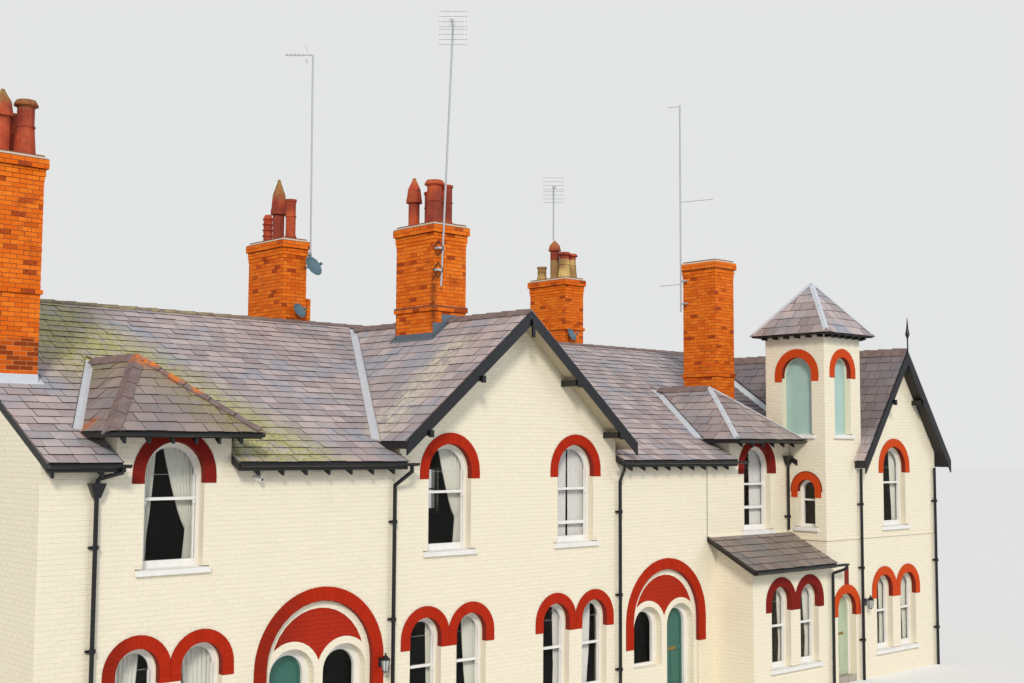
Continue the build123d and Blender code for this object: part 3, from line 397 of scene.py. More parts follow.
def drip_stain(coat, plan, reach, foot, head):
    """How dark a stain is that runs down an upright line between two heights."""
    flat = coat.node("ShaderNodeVectorMath", (coat.place, (1, 1, 0)), operation="MULTIPLY")
    return coat.times(
        coat.near((*plan, 0), reach, reach * 0.2, flat), coat.along(2, head, head - 0.3),
        coat.along(2, foot, foot + 0.1), coat.patches(9.0, 5, 0.7, 0.3, 0.6), 0.85)


def repaired_foot(coat):
    """The foot of the left stack, laid in darker brick and pale mortar."""
    return coat.times(coat.along(0, -8.9, -9.0), coat.along(2, 7.64, 7.60))


def bare_brick(colour):
    """Hard red facing brick, hand laid: each brick has its own tone, with soot and weathering."""
    coat = Coat("Facing brick, kiln fired", 0.85, ior=1.25)
    tone = coat.tone()
    coat.body = coat.mix(coat.ramp(tone, 0.1, 1.0), "#CC5212", "#FF9A34")
    coat.over(0.45, rgba(colour))
    coat.over(coat.ramp(tone, 0.09, 0.03), "#7A2F1C")
    coat.over(coat.patches(30.0, 6, 0.7, 0.35, 0.75), "#D9600F")
    coat.over(repaired_foot(coat), coat.mix(coat.ramp(tone, 0.35, 0.9), "#8E3C10", "#DC6410"))
    coat.over(coat.patches(2.2, 5, 0.65, 0.58, 0.8), "#8E3E1E")
    coat.over(coat.up_facing(0.6, 0.8), "#B39A86")
    coat.over(drip_stain(coat, (-0.5, 2.1), 0.13, 8.3, 9.75), "#4A2A20")
    coat.bump(coat.noise(90.0, 6, 0.7), 0.004, 0.7)
    return coat.done()


def arch_brick(name, colour):
    """Masonry paint over bricks on edge: matt red, each brick a little lighter or darker."""
    coat = Coat(name, 0.78, ior=1.25)
    coat.body = coat.mix(coat.tone(), rgba(colour, 0.93), rgba(colour, 1.04))
    coat.over(coat.patches(5.0, 6, 0.7, 0.52, 0.8), rgba(colour, 0.78))
    # Painted shade on the left side of the left house's arches.
    left_shade(coat)
    coat.over(coat.times(coat.along(0, 9.40, 9.44), 0.62), "#D8551C")
    coat.bump(coat.noise(60.0, 5, 0.6), 0.003, 0.6)
    return coat.done()


def aged_brass():
    """Cast brass, left to tarnish: warm metal, duller in the hollows."""
    coat = Coat("Brass, cast and tarnished", 0.3, 1.0)
    coat.body = coat.mix(coat.noise(40.0), "#8A6F3A", "#C9A75C")
    return coat.done()


def lime_mortar():
    """Lime mortar behind the bricks of a stack: rough, darkened by soot."""
    coat = Coat("Lime mortar, struck", 0.95)
    coat.body = coat.mix(coat.patches(6.0, 6, 0.7, 0.3, 0.7), "#94583A", "#6B3A26")
    coat.over(repaired_foot(coat), "#DDA06A")
    coat.over(coat.up_facing(0.15, 0.4), "#C9BBA8")
    coat.bump(coat.noise(120.0, 4, 0.7), 0.003, 0.8)
    return coat.done()


def rust_lichen(coat):
    """Orange lichen in crusts near the top of the left half-dormer."""
    for middle, reach in (
            ((-7.55, 1.3, 7.29), 0.34), ((-7.21, 0.86, 6.94), 0.24), ((-6.98, 0.55, 6.71), 0.18),
            ((-8.98, 0.5, 6.15), 0.24)):
        near = coat.near(middle, reach, reach * 0.5)
        coat.over(coat.times(near, coat.patches(12.0, 8, 0.8, 0.44, 0.50)), "#D9741A")


def dull_and_shaded_roofs(coat):
    """Browner and duller slates on the half-dormers and on the lean-to, and darker slates on the wing and the
    right end of the main roof as painted shade.
    """
    # Painted shade: the slates right of x = 11.4, on the wing and the right end of the main roof, are made
    # darker.
    coat.over(coat.times(coat.along(0, 10.95, 11.4), 0.7), "#5F5658")
    slope = (coat.place, (0.0, -MAIN_RISE, 1.0))
    rise = coat.node("ShaderNodeVectorMath", slope, "Value", operation="DOT_PRODUCT")
    foot = EAVE_Z - MAIN_RISE * EAVE_Y
    above_main_slope = coat.ramp(rise, foot + 0.06, foot + 0.14)
    for span, amount in zip(DORMERS, (0.45, 0.25)):
        middle, half = sum(span) / 2, (span[1] - span[0]) / 2
        near = coat.band((middle, 0), (middle, 1), half + 0.03, half + 0.10)
        coat.over(coat.times(near, above_main_slope, amount), "#60452A")
    coat.over(coat.times(coat.along(2, 4.4, 4.2), 0.6), "#5A4A30")


def riven_slate(colour, underside=None):
    """Welsh slate, split by hand: purple-grey leaves with a low sheen, lichen where the roof stays damp."""
    coat = Coat(f"Slate roof body, {underside[1:]} soffit" if underside else "Slate, hand split", 0.5)
    tone = coat.noise(3.0) if underside else coat.tone()
    coat.body = coat.mix(coat.ramp(tone, 0.0, 1.0), "#8C8084", "#CFC0BD")
    coat.over(0.35, rgba(colour))
    coat.over(coat.patches(1.1, 3, 0.6, 0.48, 0.66), "#9EA2AC")
    coat.over(coat.patches(9.0, 7, 0.75, 0.5, 0.75), "#B3A8A2")
    damp = coat.band((-7.9, 5.0), (-6.1, 0.5), 0.7, 1.7)
    lichen = coat.mix(coat.patches(17.0, 8, 0.8, 0.40, 0.60), "#86843F", "#CBC78C")
    coat.over(coat.times(damp, coat.patches(4.2, 12, 0.85, 0.43, 0.50)), lichen)
    rust_lichen(coat)
    bleached = coat.times(
        coat.band((-3.0, 0.62), (-0.7, 0.95), 0.2, 0.6), coat.patches(8.0, 8, 0.8, 0.44, 0.56),
        coat.along(0, -0.5, -0.8), coat.along(0, -3.3, -3.0))
    coat.over(bleached, "#D6CFB8")
    coat.over(coat.patches(26.0, 5, 0.8, 0.66, 0.74), "#B9B39A")
    dull_and_shaded_roofs(coat)
    if underside:
        coat.over(coat.up_facing(0.3, 0.2), "#1E1D1C")
        coat.over(coat.up_facing(-0.2, -0.4), underside)
    else:
        # Painted shade: the slates' edges, marked -1 in the tone, are painted near-black.
        coat.over(coat.ramp(tone, -0.2, -0.8), "#2E2A2D")
    coat.bump(coat.noise(14.0, 8, 0.75), 0.010, 0.5)
    coat.bump(coat.noise(70.0, 4, 0.6), 0.003, 0.6)
    return coat.done()


def fired_clay(name, dark, light):
    """Matt fired clay of mottled colour, before anything grows on it."""
    coat = Coat(name, 0.8)
    coat.body = coat.mix(coat.patches(5.0, 6, 0.7, 0.3, 0.7), dark, light)
    coat.bump(coat.noise(60.0, 6, 0.7), 0.004, 0.7)
    return coat


def ridge_clay():
    """Fired clay ridge tiles: grey-brown with rusty lichen, and a khaki crust on the main ridge's left."""
    coat = fired_clay("Ridge tile, fired clay", "#665654", "#8C7B78")
    coat.over(coat.patches(11.0, 7, 0.8, 0.55, 0.7), "#A8763A")
    rust_lichen(coat)
    left_ridge = coat.times(coat.along(0, -2.0, -4.5), coat.along(2, 7.5, 7.8))
    coat.over(coat.times(left_ridge, coat.patches(7.0, 8, 0.8, 0.46, 0.54)), "#A09868")
    return coat.done()


def pot_clay():
    """Terracotta chimney ware: matt and smoked, buff at the far right, with moss on the tall tips."""
    coat = fired_clay("Chimney ware, terracotta", "#9E3218", "#C65A2C")
    coat.over(coat.times(coat.along(0, 7.9, 8.0), coat.along(2, 11.36, 11.32)), "#D2B36C")
    coat.over(coat.patches(11.0, 7, 0.8, 0.55, 0.7), "#6A3A28")
    coat.over(coat.times(coat.patches(1.3, 2, 0.5, 0.42, 0.58), 0.6), "#5A1C1A")
    coat.over(coat.times(coat.along(2, 11.62, 11.9), coat.patches(14.0, 8, 0.8, 0.42, 0.54)), "#8F7F45")
    return coat.done()


def weathered_lead(colour):
    """Milled lead sheet, dressed by hand: dull blue-grey with pale oxide streaks, darker behind the gable."""
    coat = Coat("Milled lead sheet, dressed", 0.5, 0.2)
    coat.body = coat.mix(coat.patches(8.0, 6, 0.7, 0.35, 0.75), rgba(colour), "#DDE2E6")
    coat.over(coat.near((0.0, 2.6, 8.5), 1.5, 1.3), "#66727E")
    coat.bump(coat.noise(12.0, 4, 0.6), 0.012, 0.5)
    return coat.done()


def gloss_paint(name, colour, roughness=0.28, grain=0.002, scale=30.0):
    """Brushed paint: a smooth film with faint brush marks and dust along it."""
    coat = Coat(name, roughness)
    coat.body = coat.mix(coat.patches(3.0, 5, 0.7, 0.3, 0.8), rgba(colour, 0.9), rgba(colour, 1.06))
    coat.bump(coat.noise(scale, 5, 0.6, coat.stretched(0.12)), grain, 0.5)
    return coat.done()


def window_glass():
    """Drawn window glass: clear and slightly uneven, dark where the room behind it is unlit."""
    coat = Coat("Drawn window glass", 0.04, ior=1.52)
    coat.shader.inputs["Base Color"].default_value = rgba("#20282A")
    coat.shader.inputs["Alpha"].default_value = 0.10
    coat.bump(coat.noise(2.5, 2, 0.4), 0.004, 0.25)
    return coat.done()


def sawn_boards():
    """Pine boards, sawn and laid along the row."""
    coat = Coat("Pine boards, sawn", 0.6)
    tone, joints = coat.courses(coat.place, 2.4, 0.15, 0.004, 0.1, 0.37)
    coat.body = coat.mix(tone, "#9A7448", "#B78D5B")
    coat.over(joints, "#4A3622")
    return coat.done()


def sandstone():
    """Riven sandstone flags: matt and slightly grained, darker where feet and water reach them."""
    coat = Coat("Sandstone flags, riven", 0.8)
    coat.body = coat.mix(coat.patches(4.0, 6, 0.7, 0.35, 0.75), "#B3AB9D", "#8C8478")
    coat.over(coat.courses(coat.place, 0.9, 0.6, 0.008, 0.2)[1], "#6F675C")
    coat.bump(coat.noise(50.0, 5, 0.6), 0.003, 0.6)
    return coat.done()


def galvanised_steel():
    """Galvanised tube: dull grey zinc with a fine spangle; the dishes have gone blue-grey."""
    coat = Coat("Galvanised steel tube", 0.5, 0.5)
    spangle = coat.node("ShaderNodeTexVoronoi", {"Vector": coat.place, "Scale": 60.0}, "Distance")
    coat.body = coat.mix(spangle, "#A9AEB2", "#D5D8DA")
    for dish, reach in (((-1.0, 6.05, 10.02), 0.36), ((-1.33, 6.09, 8.95), 0.28), ((8.56, 6.89, 9.05), 0.28)):
        coat.over(coat.near(dish, reach, reach - 0.04), "#64808C")
    return coat.done()


def curtain_cloth(name, colour):
    """Cotton curtain, plain woven: soft folds with a fine thread drawn at 6 mm so that it shows."""
    coat = Coat(name, 0.9)
    coat.shader.inputs["Sheen Weight"].default_value = 0.3
    weave = {"Vector": coat.node("ShaderNodeTexCoord", output="UV"), "Scale": 160.0, "Distortion": 0.6}
    threads = coat.node("ShaderNodeTexWave", weave, "Fac", wave_type="BANDS")
    coat.body = coat.mix(threads, rgba(colour, 0.9), colour)
    coat.bump(threads, 0.001, 0.4)
    return coat.done()


MATERIALS = {}


def make_materials():
    """Makes every material once, from the colours in the panel."""
    group = bpy.context.scene.row_colours
    cream, red, brick, slate, lead, black, white, teal = (
        tuple(getattr(group, name)) for name in RowColours.__annotations__)
    MATERIALS.update(
        cream=painted_brick("Masonry paint on brick, cream", cream, 0.955, 0.94),
        cream_bricks=masonry_paint("Masonry paint on laid brick, cream", cream),
        cream_joint=masonry_paint("Masonry paint on joints, cream", cream, 0.93),
        frosted=gloss_paint("Pressed glass, frosted", "#C4CAC6", 0.2, 0.002, 80.0),
        red=painted_brick("Masonry paint on brick, red", red, 0.72, 0.85),
        red_joint=gloss_paint("Masonry paint on joints, red", tuple(v * 0.5 for v in red), 0.85, 0.004, 60.0),
        red_bricks=arch_brick("Masonry paint on brick on edge, red", red),
        # The arch red made darker as painted shade, for the arches under the eaves of the half-dormers and the
        # lean-to.
        maroon_bricks=arch_brick("Masonry paint on brick on edge, maroon", "#7E1C12"),
        brass=aged_brass(),
        brick=bare_brick(brick),
        mortar=lime_mortar(),
        slate=riven_slate(slate),
        slate_body=riven_slate(slate, "#B8AC90"),
        dark_body=riven_slate(slate, "#26241F"),
        ridge=ridge_clay(),
        lead=weathered_lead(lead),
        black=gloss_paint("Gloss paint on timber, black", black),
        iron=gloss_paint("Gloss paint on cast iron, black", black, 0.32, 0.004, 60.0),
        white=gloss_paint("Gloss paint on timber, white", white),
        sill=gloss_paint("Masonry paint on stone, white", white, 0.6, 0.004, 40.0),
        teal=gloss_paint("Gloss paint on timber, teal", teal),
        sage=gloss_paint("Gloss paint on timber, sage", "#B4C2A4", 0.4),
        blind=gloss_paint("Satin paint on board, pale teal", "#A9C8C0", 0.45),
        glass=window_glass(),
        boards=sawn_boards(),
        flags=sandstone(),
        pots=pot_clay(),
        steel=galvanised_steel(),
        curtain=curtain_cloth("Cotton curtain, plain woven", "#F7F8EC"),
        net=curtain_cloth("Net curtain, knitted", "#F6F6F2"),
    )


# Meshes

def finish_piece(bm, name, material, body=HOUSE, recalc=True):
    """Turns a bmesh into a piece of the object that rides on a body."""
    if recalc:
        bmesh.ops.recalc_face_normals(bm, faces=bm.faces)
    mesh = bpy.data.meshes.new(name)
    bm.to_mesh(mesh)
    bm.free()
    if not mesh.polygons:
        raise RuntimeError(f"{name} came out empty")
    piece = bpy.data.objects.new(name, mesh)
    bpy.context.scene.collection.objects.link(piece)
    mesh.materials.append(MATERIALS[material])
    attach(piece, body)
    return piece


def add_box(bm, low, high):
    """An upright box between two corners."""
    low, high = Vector(low), Vector(high)
    matrix = Matrix.Translation((low + high) / 2) @ Matrix.Diagonal((*(high - low), 1.0))
    return bmesh.ops.create_cube(bm, size=1.0, matrix=matrix)["verts"]


def add_rod(bm, start, end, radius, sides=8, radius_end=None):
    """A round rod between two points, which may taper."""
    start, end = Vector(start), Vector(end)
    along = end - start
    matrix = Matrix.Translation((start + end) / 2) @ along.to_track_quat("Z", "Y").to_matrix().to_4x4()
    radius_end = radius if radius_end is None else radius_end
    bmesh.ops.create_cone(
        bm, cap_ends=True, segments=sides, radius1=radius, radius2=radius_end, depth=along.length,
        matrix=matrix)


def add_ball(bm, place, radius, around, up):
    """A ball with a number of faces around and up it."""
    bmesh.ops.create_uvsphere(
        bm, u_segments=around, v_segments=up, radius=radius, matrix=Matrix.Translation(place))


def add_chain(bm, points, radius, sides):
    """Rods from each point to the next."""
    for a, b in zip(points, points[1:]):
        add_rod(bm, a, b, radius, sides)


def pairs(points):
    """Each point of a closed outline with the next."""
    return zip(points, points[1:] + points[:1])


def tone_layer(bm):
    """The per-corner value that gives each slate or brick its own shade."""
    return bm.loops.layers.float_color.get("tone") or bm.loops.layers.float_color.new("tone")


def paint_tone(verts, layer, value, top=None):
    """Gives a piece its tone; with top, the faces that look another way get -1, which the slate finish turns
    into painted shade on the slates' edges.
    """
    for face in {f for v in verts for f in v.link_faces}:
        face.normal_update()
        shade = -1.0 if top and face.normal.dot(top) < 0.5 else value
        for loop in face.loops:
            loop[layer] = (shade, shade, shade, 1.0)


# Slates

VALLEY = 0.09


def rectangle(x0, x1, y0, y1):
    """A plan rectangle that runs anticlockwise."""
    return [(x0, y0), (x1, y0), (x1, y1), (x0, y1)]


def inside(point, outline):
    """Whether a plan point lies inside a convex outline that runs anticlockwise."""
    x, y = point[0], point[1]
    return all((b[0] - a[0]) * (y - a[1]) - (b[1] - a[1]) * (x - a[0]) >= 0 for a, b in pairs(outline))


def cut_upright(bm, a, b, clear):
    """Cuts a mesh by the upright plane through two plan points, and may clear what is to the right of them."""
    normal = Vector((b[1] - a[1], a[0] - b[0], 0)).normalized()
    geometry = bm.verts[:] + bm.edges[:] + bm.faces[:]
    bmesh.ops.bisect_plane(
        bm, geom=geometry, dist=1e-5, plane_co=(a[0], a[1], 0), plane_no=normal, clear_outer=clear)


def cut_slates(work, outline, uncut, holes):
    """Trims slates to their outline, but not along the edges that are left uncut, and cuts out the holes."""
    for a, b in pairs(outline):
        if not uncut(a, b):
            cut_upright(work, a, b, True)
    for hole in holes:
        for a, b in pairs(hole):
            cut_upright(work, a, b, False)
        doomed = [f for f in work.faces if inside(f.calc_center_median(), hole)]
        bmesh.ops.delete(work, geom=doomed, context="FACES")
    edges = [e for e in work.edges if e.is_boundary]
    if edges:
        bmesh.ops.holes_fill(work, edges=edges, sides=0)


def lay_slates(bm, outline, height, sizes, rng, holes=()):
    """Lays overlapping slates over a sloping plane with an anticlockwise plan outline."""
    overhang, joint, wander = 0.03, 0.009, 0.008
    work = bmesh.new()
    layer = tone_layer(work)
    x0, y0 = outline[0]
    slope = Vector((height(x0 + 1, y0) - height(x0, y0), height(x0, y0 + 1) - height(x0, y0)))
    steepness = slope.length
    up = slope / steepness
    along = Vector((up.y, -up.x))
    stretch = math.sqrt(1 + steepness ** 2)
    rows = [Vector(p).dot(up) * stretch for p in outline]
    columns = [Vector(p).dot(along) for p in outline]
    foot = min(rows) - overhang
    up3 = Vector((up.x, up.y, steepness)) / stretch
    along3 = Vector((along.x, along.y, 0))
    out3 = along3.cross(up3)
    origin = Vector((x0, y0, height(x0, y0)))
    origin -= along3 * Vector((x0, y0)).dot(along) + up3 * (Vector((x0, y0)).dot(up) * stretch)
    if out3.z < 0:
        raise RuntimeError("a roof plane faces down")
    basis = Matrix((along3, up3, out3)).transposed()
    length, lift = sizes.slate_gauge * 1.35, sizes.slate_thickness
    row = 0
    while foot + row * sizes.slate_gauge < max(rows):
        t = foot + row * sizes.slate_gauge
        s = min(columns) - rng.random() * sizes.slate_width
        while s < max(columns):
            width = sizes.slate_width * rng.uniform(0.72, 1.3)
            tail = lift * rng.uniform(1.9, 2.7)
            tilt = Matrix.Rotation(-math.atan2(tail - lift, length), 3, "X")
            middle = origin + along3 * (s + width / 2) + up3 * (t + length / 2 + rng.uniform(-wander, wander))
            middle += out3 * (tail + lift) / 2
            matrix = Matrix.Translation(middle) @ (basis @ tilt).to_4x4()
            matrix @= Matrix.Diagonal((width - joint, length, lift, 1.0))
            made = bmesh.ops.create_cube(work, size=1.0, matrix=matrix)["verts"]
            paint_tone(made, layer, rng.random(), out3)
            s += width
        row += 1
    eaves = min(rows) + 0.01
    cut_slates(work, outline, lambda a, b: all(Vector(p).dot(up) * stretch < eaves for p in (a, b)), holes)
    for v in work.verts:
        v.co.x = min(v.co.x, CAD_BOX[1][0])
    mesh = bpy.data.meshes.new("laid")
    work.to_mesh(mesh)
    work.free()
    bm.from_mesh(mesh)
    bpy.data.meshes.remove(mesh)


def stack_outline(name, out=0.12):
    """Plan rectangle of a stack and the lead round it."""
    (x0, x1), (y0, y1), *_ = STACKS[name]
    return rectangle(x0 - out, x1 + out, y0 - out, y1 + out)


def feature_outline(centre, half, top, rise):
    """Plan triangle that a ridged roof covers on the main slope, grown by its lead valleys."""
    head, foot = main_y(top), main_y(top - rise * half)
    slope = (head - foot) / half
    reach = VALLEY * math.hypot(1, slope)
    wide = half + reach / slope
    return [(centre - wide, foot), (centre + wide, foot), (centre, head + reach)]


def yard(low, high, back):
    """Plan rectangle in front of a wall that rises through the main eaves."""
    return rectangle(low, high, EAVE_Y - 1, back)


def main_holes():
    """What breaks through the front of the main roof."""
    half = (DORMERS[0][1] - DORMERS[0][0]) / 2
    rise = (DORMER_TOP - DORMER_EAVE) / half
    left_dormer, gable = yard(-8.70, -6.62, 0.75), yard(-3.0, 3.0, 0.51)
    right_dormer = yard(7.05, TURRET_HIGH.x + 0.06, 0.75)
    wing = yard(TURRET_HIGH.x, MAIN_RIGHT + 0.3, 0.70)
    return [
        feature_outline(0, GABLE_HALF, GABLE_HIGH.z, GABLE_RISE),
        feature_outline(WING_X, WING_HALF, WING_HIGH.z, WING_RISE),
        *(feature_outline(sum(span) / 2, half, DORMER_TOP, rise) for span in DORMERS),
        left_dormer, gable, right_dormer, wing, stack_outline("left_party"), stack_outline("front_right")]


def two_slopes(centre, half, top, rise, front, holes):
    """The slopes of a ridged roof that runs back into the main slope: outline, height and holes of each."""
    head, foot = main_y(top), main_y(top - rise * half)
    valley = VALLEY * math.hypot(1, (head - foot) / half)
    head, foot = head - valley, foot - valley
    back = max(foot, front + 0.01)
    left = [(centre - half, front), (centre, front), (centre, head), (centre - half, back)]
    right = [(centre, front), (centre + half, front), (centre + half, back), (centre, head)]
    return [(left, ridged(centre, top, rise, -1), holes), (right, ridged(centre, top, rise, 1), holes)]


def small_slopes():
    """The slopes of the half-dormers, the lean-to and the turret."""
    slopes = []
    for low, high in DORMERS:
        left, right, hip = dormer_slopes((low, high))
        head, foot = main_y(DORMER_TOP), main_y(DORMER_EAVE)
        valley = 0.08 * math.hypot(1, (head - foot) / ((DORMERS[0][1] - DORMERS[0][0]) / 2))
        head, foot = head - valley, foot - valley
        near, far = ((low + high) / 2, DORMER_HIP_Y), ((low + high) / 2, head)
        stacks = [stack_outline("front_right", 0.06)] if low > 0 else []
        slopes += [
            ([(low, DORMER_FRONT), near, far, (low, foot)], left, stacks),
            ([near, (high, DORMER_FRONT), (high, foot), far], right, stacks),
            ([(low, DORMER_FRONT), (high, DORMER_FRONT), near], hip, [])]
    lean_rise = (LEAN_HIGH.z - LEAN_LOW.z - 0.1) / (LEAN_HIGH.y - LEAN_LOW.y)
    outline = rectangle(LEAN_LOW.x, LEAN_HIGH.x, LEAN_LOW.y, LEAN_HIGH.y)
    slopes.append((outline, lambda x, y: LEAN_HIGH.z + lean_rise * y, []))
    return slopes + turret_slopes()


def turret_slopes():
    """The four slopes of the turret's pyramid."""
    low, high = TURRET_ROOF_LOW, TURRET_ROOF_HIGH
    middle = (low + high) / 2
    tip = (middle.x, middle.y)
    slopes = []
    for a, b in pairs(rectangle(low.x, high.x, low.y, high.y)):
        edge = Vector((b[0] - a[0], b[1] - a[1])).normalized()
        inward = Vector((-edge.y, edge.x))
        rise = (high.z - TURRET_BASE) / (Vector(tip) - Vector(a)).dot(inward)

        def height(x, y, a=a, inward=inward, rise=rise):
            return TURRET_BASE + rise * (Vector((x, y)) - Vector(a)).dot(inward)

        slopes.append(([a, b, tip], height, []))
    return slopes


class ROW_OT_slates(bpy.types.Operator):
    """Lay the slates of every roof"""
    bl_idname = "row.slates"
    bl_label = "Slates"

    def execute(self, context):
        sizes = context.scene.row_sizes
        rng = random.Random(sizes.seed)
        turret = rectangle(TURRET_LOW.x - 1, TURRET_HIGH.x + 0.01, TURRET_LOW.y - 0.02, TURRET_HIGH.y + 0.02)
        gable_stack = [stack_outline("gable")]
        rear_stacks = [stack_outline("rear_left"), stack_outline("rear_right")]
        roofs = {
            "main_front": [(rectangle(LEFT_END, MAIN_RIGHT, EAVE_Y, RIDGE_Y), main_front, main_holes())],
            "main_rear": [(rectangle(LEFT_END, MAIN_RIGHT, RIDGE_Y, REAR_EAVE_Y), main_rear, rear_stacks)],
            "gable": two_slopes(0, GABLE_HALF, GABLE_HIGH.z, GABLE_RISE, GABLE_LOW.y, gable_stack),
            "wing": two_slopes(WING_X, WING_HALF, WING_HIGH.z, WING_RISE, WING_LOW.y, [turret]),
            "small_roof": small_slopes(),
        }
        for name, slopes in roofs.items():
            bm = bmesh.new()
            tone_layer(bm)
            for outline, height, holes in slopes:
                lay_slates(bm, outline, height, sizes, rng, holes)
            finish_piece(bm, f"{name}_slates", "slate")
        return {"FINISHED"}


# Ridge tiles

def laid_cap(bm, a, b, half, lift, thickness, height=roof_height):
    """One capping piece bent over a ridge or hip; lift is its height over the slates at each end."""
    run = Vector((b[0] - a[0], b[1] - a[1]))
    across = Vector((-run.y, run.x)).normalized() * half
    side, near = Vector(a) + run / 2 + across / 2, 0.01
    here = height(side.x, side.y)
    slope = math.hypot(height(side.x + near, side.y) - here, height(side.x, side.y + near) - here)
    stretch = math.hypot(1, slope / near)
    made = bmesh.ops.create_grid(bm, x_segments=1, y_segments=2, size=1.0)["verts"]
    for v in made:
        u, w = (v.co.x + 1) / 2, v.co.y
        x = a[0] + run.x * u + across.x * w
        y = a[1] + run.y * u + across.y * w
        v.co = Vector((x, y, height(x, y) + (lift[0] + (lift[1] - lift[0]) * u) * stretch))
    faces = list({f for v in made for f in v.link_faces})
    bmesh.ops.recalc_face_normals(bm, faces=faces)
    if sum(f.normal.z for f in faces) < 0:
        bmesh.ops.reverse_faces(bm, faces=faces)
    bmesh.ops.solidify(bm, geom=faces, thickness=thickness)


def tile_line(bm, start, end, half, length):
    """Tiles along a ridge or hip between two plan points, left out where a stack stands."""
    start, end = Vector(start), Vector(end)
    count = max(1, round((end - start).length / length))
    step = (end - start) / count
    for i in range(count):
        a, b = start + step * i, start + step * (i + 0.985)
        point = (a + b) / 2
        if not any(inside(point, stack_outline(name, 0.0)) for name in STACKS):
            laid_cap(bm, a, b, half, (0.046, 0.060), 0.026)


class ROW_OT_ridge_tiles(bpy.types.Operator):
    """Lay ridge and hip tiles one by one"""
    bl_idname = "row.ridge_tiles"
    bl_label = "Ridge tiles"

    def execute(self, context):
        sizes = context.scene.row_sizes
        left, right = ((sum(span) / 2, DORMER_HIP_Y) for span in DORMERS)
        wide, narrow = 0.15, 0.13
        lines = [
            ((LEFT_END, RIDGE_Y), (MAIN_RIGHT, RIDGE_Y), wide),
            ((0, GABLE_LOW.y), (0, main_y(GABLE_HIGH.z) - 0.2), wide),
            ((WING_X, WING_LOW.y), (WING_X, main_y(WING_HIGH.z) - 0.2), wide),
            (left, (left[0], main_y(DORMER_TOP) - 0.2), wide),
            (right, (right[0], main_y(DORMER_TOP) - 0.2), wide),
            (left, (DORMERS[0][0], DORMER_FRONT), wide),
            (left, (DORMERS[0][1], DORMER_FRONT), narrow),
        ]
        bm = bmesh.new()
        for start, end, half in lines:
            tile_line(bm, start, end, half, sizes.tile_length)
        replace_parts(finish_piece(bm, "laid_ridge_tiles", "ridge"), "ridge_tiles")
        return {"FINISHED"}


# Brick arches

def ring_point(centre, spring, radius, angle):
    """A point of an arch, across and up."""
    return centre + radius * math.cos(angle), spring + radius * math.sin(angle)


def arch_bricks(bm, place, half, width, foot, spring, rng, clip=None):
    """Bricks on edge round an arch, with straight legs; place gives x, y and the turn of the wall."""
    layer = tone_layer(bm)
    joint, gap, back, pitch = 0.003, 0.003, 0.02, 0.088
    count = round(math.pi * (half + width / 2) / pitch)
    legs = max(0, round((spring - foot) / COURSE))
    for low, high in [(math.pi * i / count, math.pi * (i + 1) / count) for i in range(count)]:
        made = bmesh.ops.create_cube(bm, size=1.0)["verts"]
        front = rng.uniform(0.013, 0.018)
        for v in made:
            radius = half + gap + (v.co.x + 0.5) * (width - 2 * gap)
            angle = low + joint / radius / 2 + (v.co.z + 0.5) * (high - low - joint / radius)
            across, up = ring_point(0, spring, radius, angle)
            v.co = Vector((across, -front if v.co.y < 0 else back, up))
        settle(made, place, clip)
        paint_tone(made, layer, rng.random())
    for side in (-1, 1):
        for i in range(legs):
            z = foot + (spring - foot) * i / legs
            inner, outer = sorted((side * (half + gap), side * (half + width - gap)))
            made = add_box(
                bm, (inner, -rng.uniform(0.013, 0.018), z + joint / 2),
                (outer, back, z + (spring - foot) / legs - joint / 2))
            settle(made, place, clip)
            paint_tone(made, layer, rng.random())


def settle(verts, place, clip):
    """Moves a piece drawn at x = 0 to its wall; clip keeps it on one side of a middle line."""
    x, y, turn = place
    for v in verts:
        if clip:
            v.co.x = min(v.co.x, clip[1]) if clip[0] > 0 else max(v.co.x, clip[1])
        if turn:
            v.co = Vector((v.co.y, -v.co.x, v.co.z))
        v.co += Vector((x, y, 0))


# Rings over both entrances, and over the turret's front blind window, door, side blind window and slit

ENTRANCE_RING = (1.13, 0.25, 1.35, 1.92)
TURRET_ARCHES = (
    ((10.30, BAY_FACE, False), 0.36, RING, 7.60, 7.755),
    ((10.34, BAY_FACE, False), 0.40, RING, 1.64, 1.80),
    ((TURRET_LOW.x, -0.25, True), 0.44, RING, 7.50, 7.67),
    ((TURRET_LOW.x, -0.50, True), 0.255, 0.19, 4.58, 4.77))


class ROW_OT_arches(bpy.types.Operator):
    """Lay the brick arches over windows, doors and the turret's blind windows"""
    bl_idname = "row.arches"
    bl_label = "Arches"

    def execute(self, context):
        sizes = context.scene.row_sizes
        rng = random.Random(sizes.seed + 1)
        # dark gathers the arches under the eaves of the half-dormers and the lean-to, which get the red made
        # darker as painted shade.
        bm, dark = bmesh.new(), bmesh.new()
        for x, y in UPPER_WINDOWS:
            target = dark if x in DORMER_WINDOWS else bm
            arch_bricks(target, (x, y, False), UPPER_HALF, RING, UPPER_SPRING - UPPER_LEG, UPPER_SPRING, rng)
        for x, y, side in TWIN_LIGHTS:
            target = dark if y == BAY_FACE and x < TURRET_LOW.x else bm
            clip = (-side, -side * (TWIN_APART - 0.004))
            arch_bricks(target, (x, y, False), TWIN_HALF, RING, TWIN_SPRING - TWIN_LEG, TWIN_SPRING, rng, clip)
        for x in ENTRANCES:
            arch_bricks(bm, (x, 0, False), *ENTRANCE_RING, rng)
        for arch in TURRET_ARCHES:
            arch_bricks(bm, *arch, rng)
        finish_piece(bm, "arch_bricks", "red_bricks")
        finish_piece(dark, "shaded_arch_bricks", "maroon_bricks")
        return {"FINISHED"}


# Wall bricks

AWAY_FROM_WALLS = (
    "gutters", "downpipes", "bargeboards", "aerials_and_dishes", "chimney_pots", "front_glass", "rear_glass")


